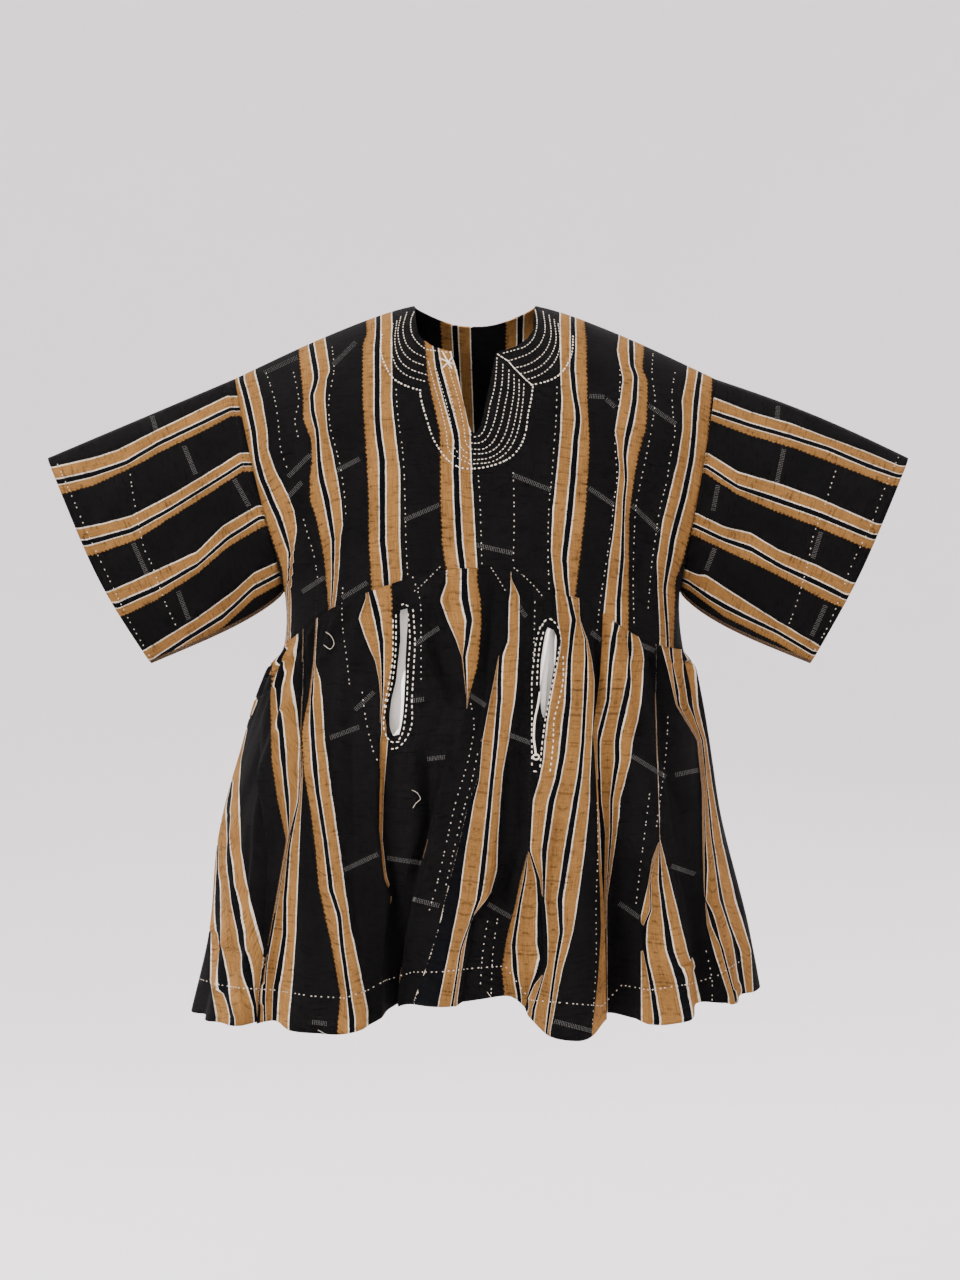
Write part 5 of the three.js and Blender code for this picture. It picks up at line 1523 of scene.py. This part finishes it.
def thread_material(name, colour, roughness=0.8):
    nodes = Nodes(name)
    place = nodes.add("ShaderNodeTexCoord").outputs["Object"]
    fine, cloud = nodes.noise(place, 900), nodes.noise(place, 40, 3.0)
    mottled = nodes.math("ADD", nodes.math("MULTIPLY", cloud, 0.3), 0.7)
    tone = nodes.math("ADD", nodes.math("MULTIPLY", fine, 0.3), mottled)
    nodes.bump(fine, 0.0003, 0.5)
    return nodes.finish(nodes.shaded(colour, tone), Roughness=roughness, Specular_IOR_Level=0.15)


# ---- stage ----

FLOOR_Z = -1.45
BOWL = {"floor": 3.6, "radius": 7.0, "top": 6.0}


def build_stage():
    """A pale floor that curves up into an all-round wall and ceiling."""
    fillet = BOWL["radius"] - BOWL["floor"]
    turn = np.linspace(0, math.pi / 2, 16)
    profile = [(BOWL["floor"] / 3, FLOOR_Z), (BOWL["floor"] / 2, FLOOR_Z)]
    profile += [(BOWL["floor"] + fillet * math.sin(t), FLOOR_Z + fillet * (1 - math.cos(t))) for t in turn]
    wall_foot = FLOOR_Z + fillet
    profile += [(BOWL["radius"] * math.cos(t), BOWL["top"] * math.sin(t) + wall_foot) for t in turn[1:]]
    angles = np.linspace(0, 2 * math.pi, 97)[:-1]
    count = len(angles)
    verts = [(r * math.cos(a), r * math.sin(a), z) for r, z in profile for a in angles]
    faces = [(i * count + j, i * count + (j + 1) % count,
              (i + 1) * count + (j + 1) % count, (i + 1) * count + j)
             for i in range(len(profile) - 1) for j in range(count)]
    faces.append(tuple(range(count))[::-1])
    mesh = bpy.data.meshes.new("studio")
    mesh.from_pydata(verts, [], faces)
    mesh.polygons.foreach_set("use_smooth", np.ones(len(faces), bool))
    paper = Nodes("studio_paper")
    grain = paper.noise(paper.add("ShaderNodeTexCoord").outputs["Object"], 3, 2.0)
    tone = paper.math("ADD", paper.math("MULTIPLY", grain, 0.02), 0.99)
    mesh.materials.append(paper.finish(paper.shaded(linear(244, 240, 242), tone), Roughness=0.95))
    add_object("studio", mesh)


def area_light(name, place, size, power):
    light = bpy.data.lights.new(name, "AREA")
    light.shape = "DISK"
    light.size = size
    light.energy = power
    lamp = add_object(name, light)
    lamp.location = place
    lamp.rotation_euler = (Vector((0, 0, -0.4)) - Vector(place)).to_track_quat("-Z", "Y").to_euler()


def build_lights():
    area_light("key", (-3.0, -2.9, 1.9), 1.4, 270)
    area_light("fill", (2.8, -3.0, 0.5), 2.8, 38)
    area_light("top", (0, 0.6, 3.0), 2.4, 110)
    area_light("rear", (1.8, 3.8, 1.8), 2.8, 130)
    area_light("rear_left", (-3.0, 2.8, 1.0), 2.6, 90)
    area_light("floor_glow", (0, -5.2, 3.6), 3.0, 130)
    world = bpy.data.worlds.new("studio_air")
    world.use_nodes = True
    world.node_tree.nodes["Background"].inputs[0].default_value = (1, 1, 1, 1)
    world.node_tree.nodes["Background"].inputs[1].default_value = 0.24
    bpy.context.scene.world = world


def build_camera():
    camera = bpy.data.cameras.new("photo_camera")
    camera.sensor_fit = "HORIZONTAL"
    camera.sensor_width = 36
    camera.lens = 36 * CAMERA["distance"] / (CAMERA["width"] * CAMERA["pixel"])
    eye = add_object("photo_camera", camera)
    eye.location = (CAMERA["x"] * MM, -CAMERA["distance"] * MM, CAMERA["z"] * MM)
    eye.rotation_euler = (math.pi / 2, 0, 0)
    bpy.context.scene.camera = eye


# ---- build ----

STRIPED = strip_material()
COTTON = thread_material("white_cotton", linear(246, 242, 236), 0.85)
THREAD = thread_material("white_thread", linear(214, 204, 188))
WEFT_THREAD = thread_material("weft_thread", linear(98, 96, 93))
DARK_THREAD = thread_material("dark_thread", linear(16, 14, 13))


def settle(piece, node):
    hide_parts(node)
    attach(piece, "root")
    return piece


def build_smock():
    front = [
        settle(build_yoke("yoke_front_cloth", FRONT), "yoke_front"),
        settle(build_skirt_front(), "skirt_front"),
    ]
    back = [
        settle(build_yoke("yoke_back_cloth", BACK), "yoke_back"),
        settle(build_skirt_back(), "skirt_back"),
    ]
    front += [settle(build_sleeve(node), node) for node in SLEEVES]
    for node in POCKETS:
        settle(build_bag(node, front[1]), node)
    cloth = Cloth(front)
    stitch_front(cloth)
    weft_marks(cloth, WEFT_MARKS, "weft_marks")
    overcast_front(cloth)
    stitch_back(back)


build_camera()
build_stage()
build_lights()
build_smock()
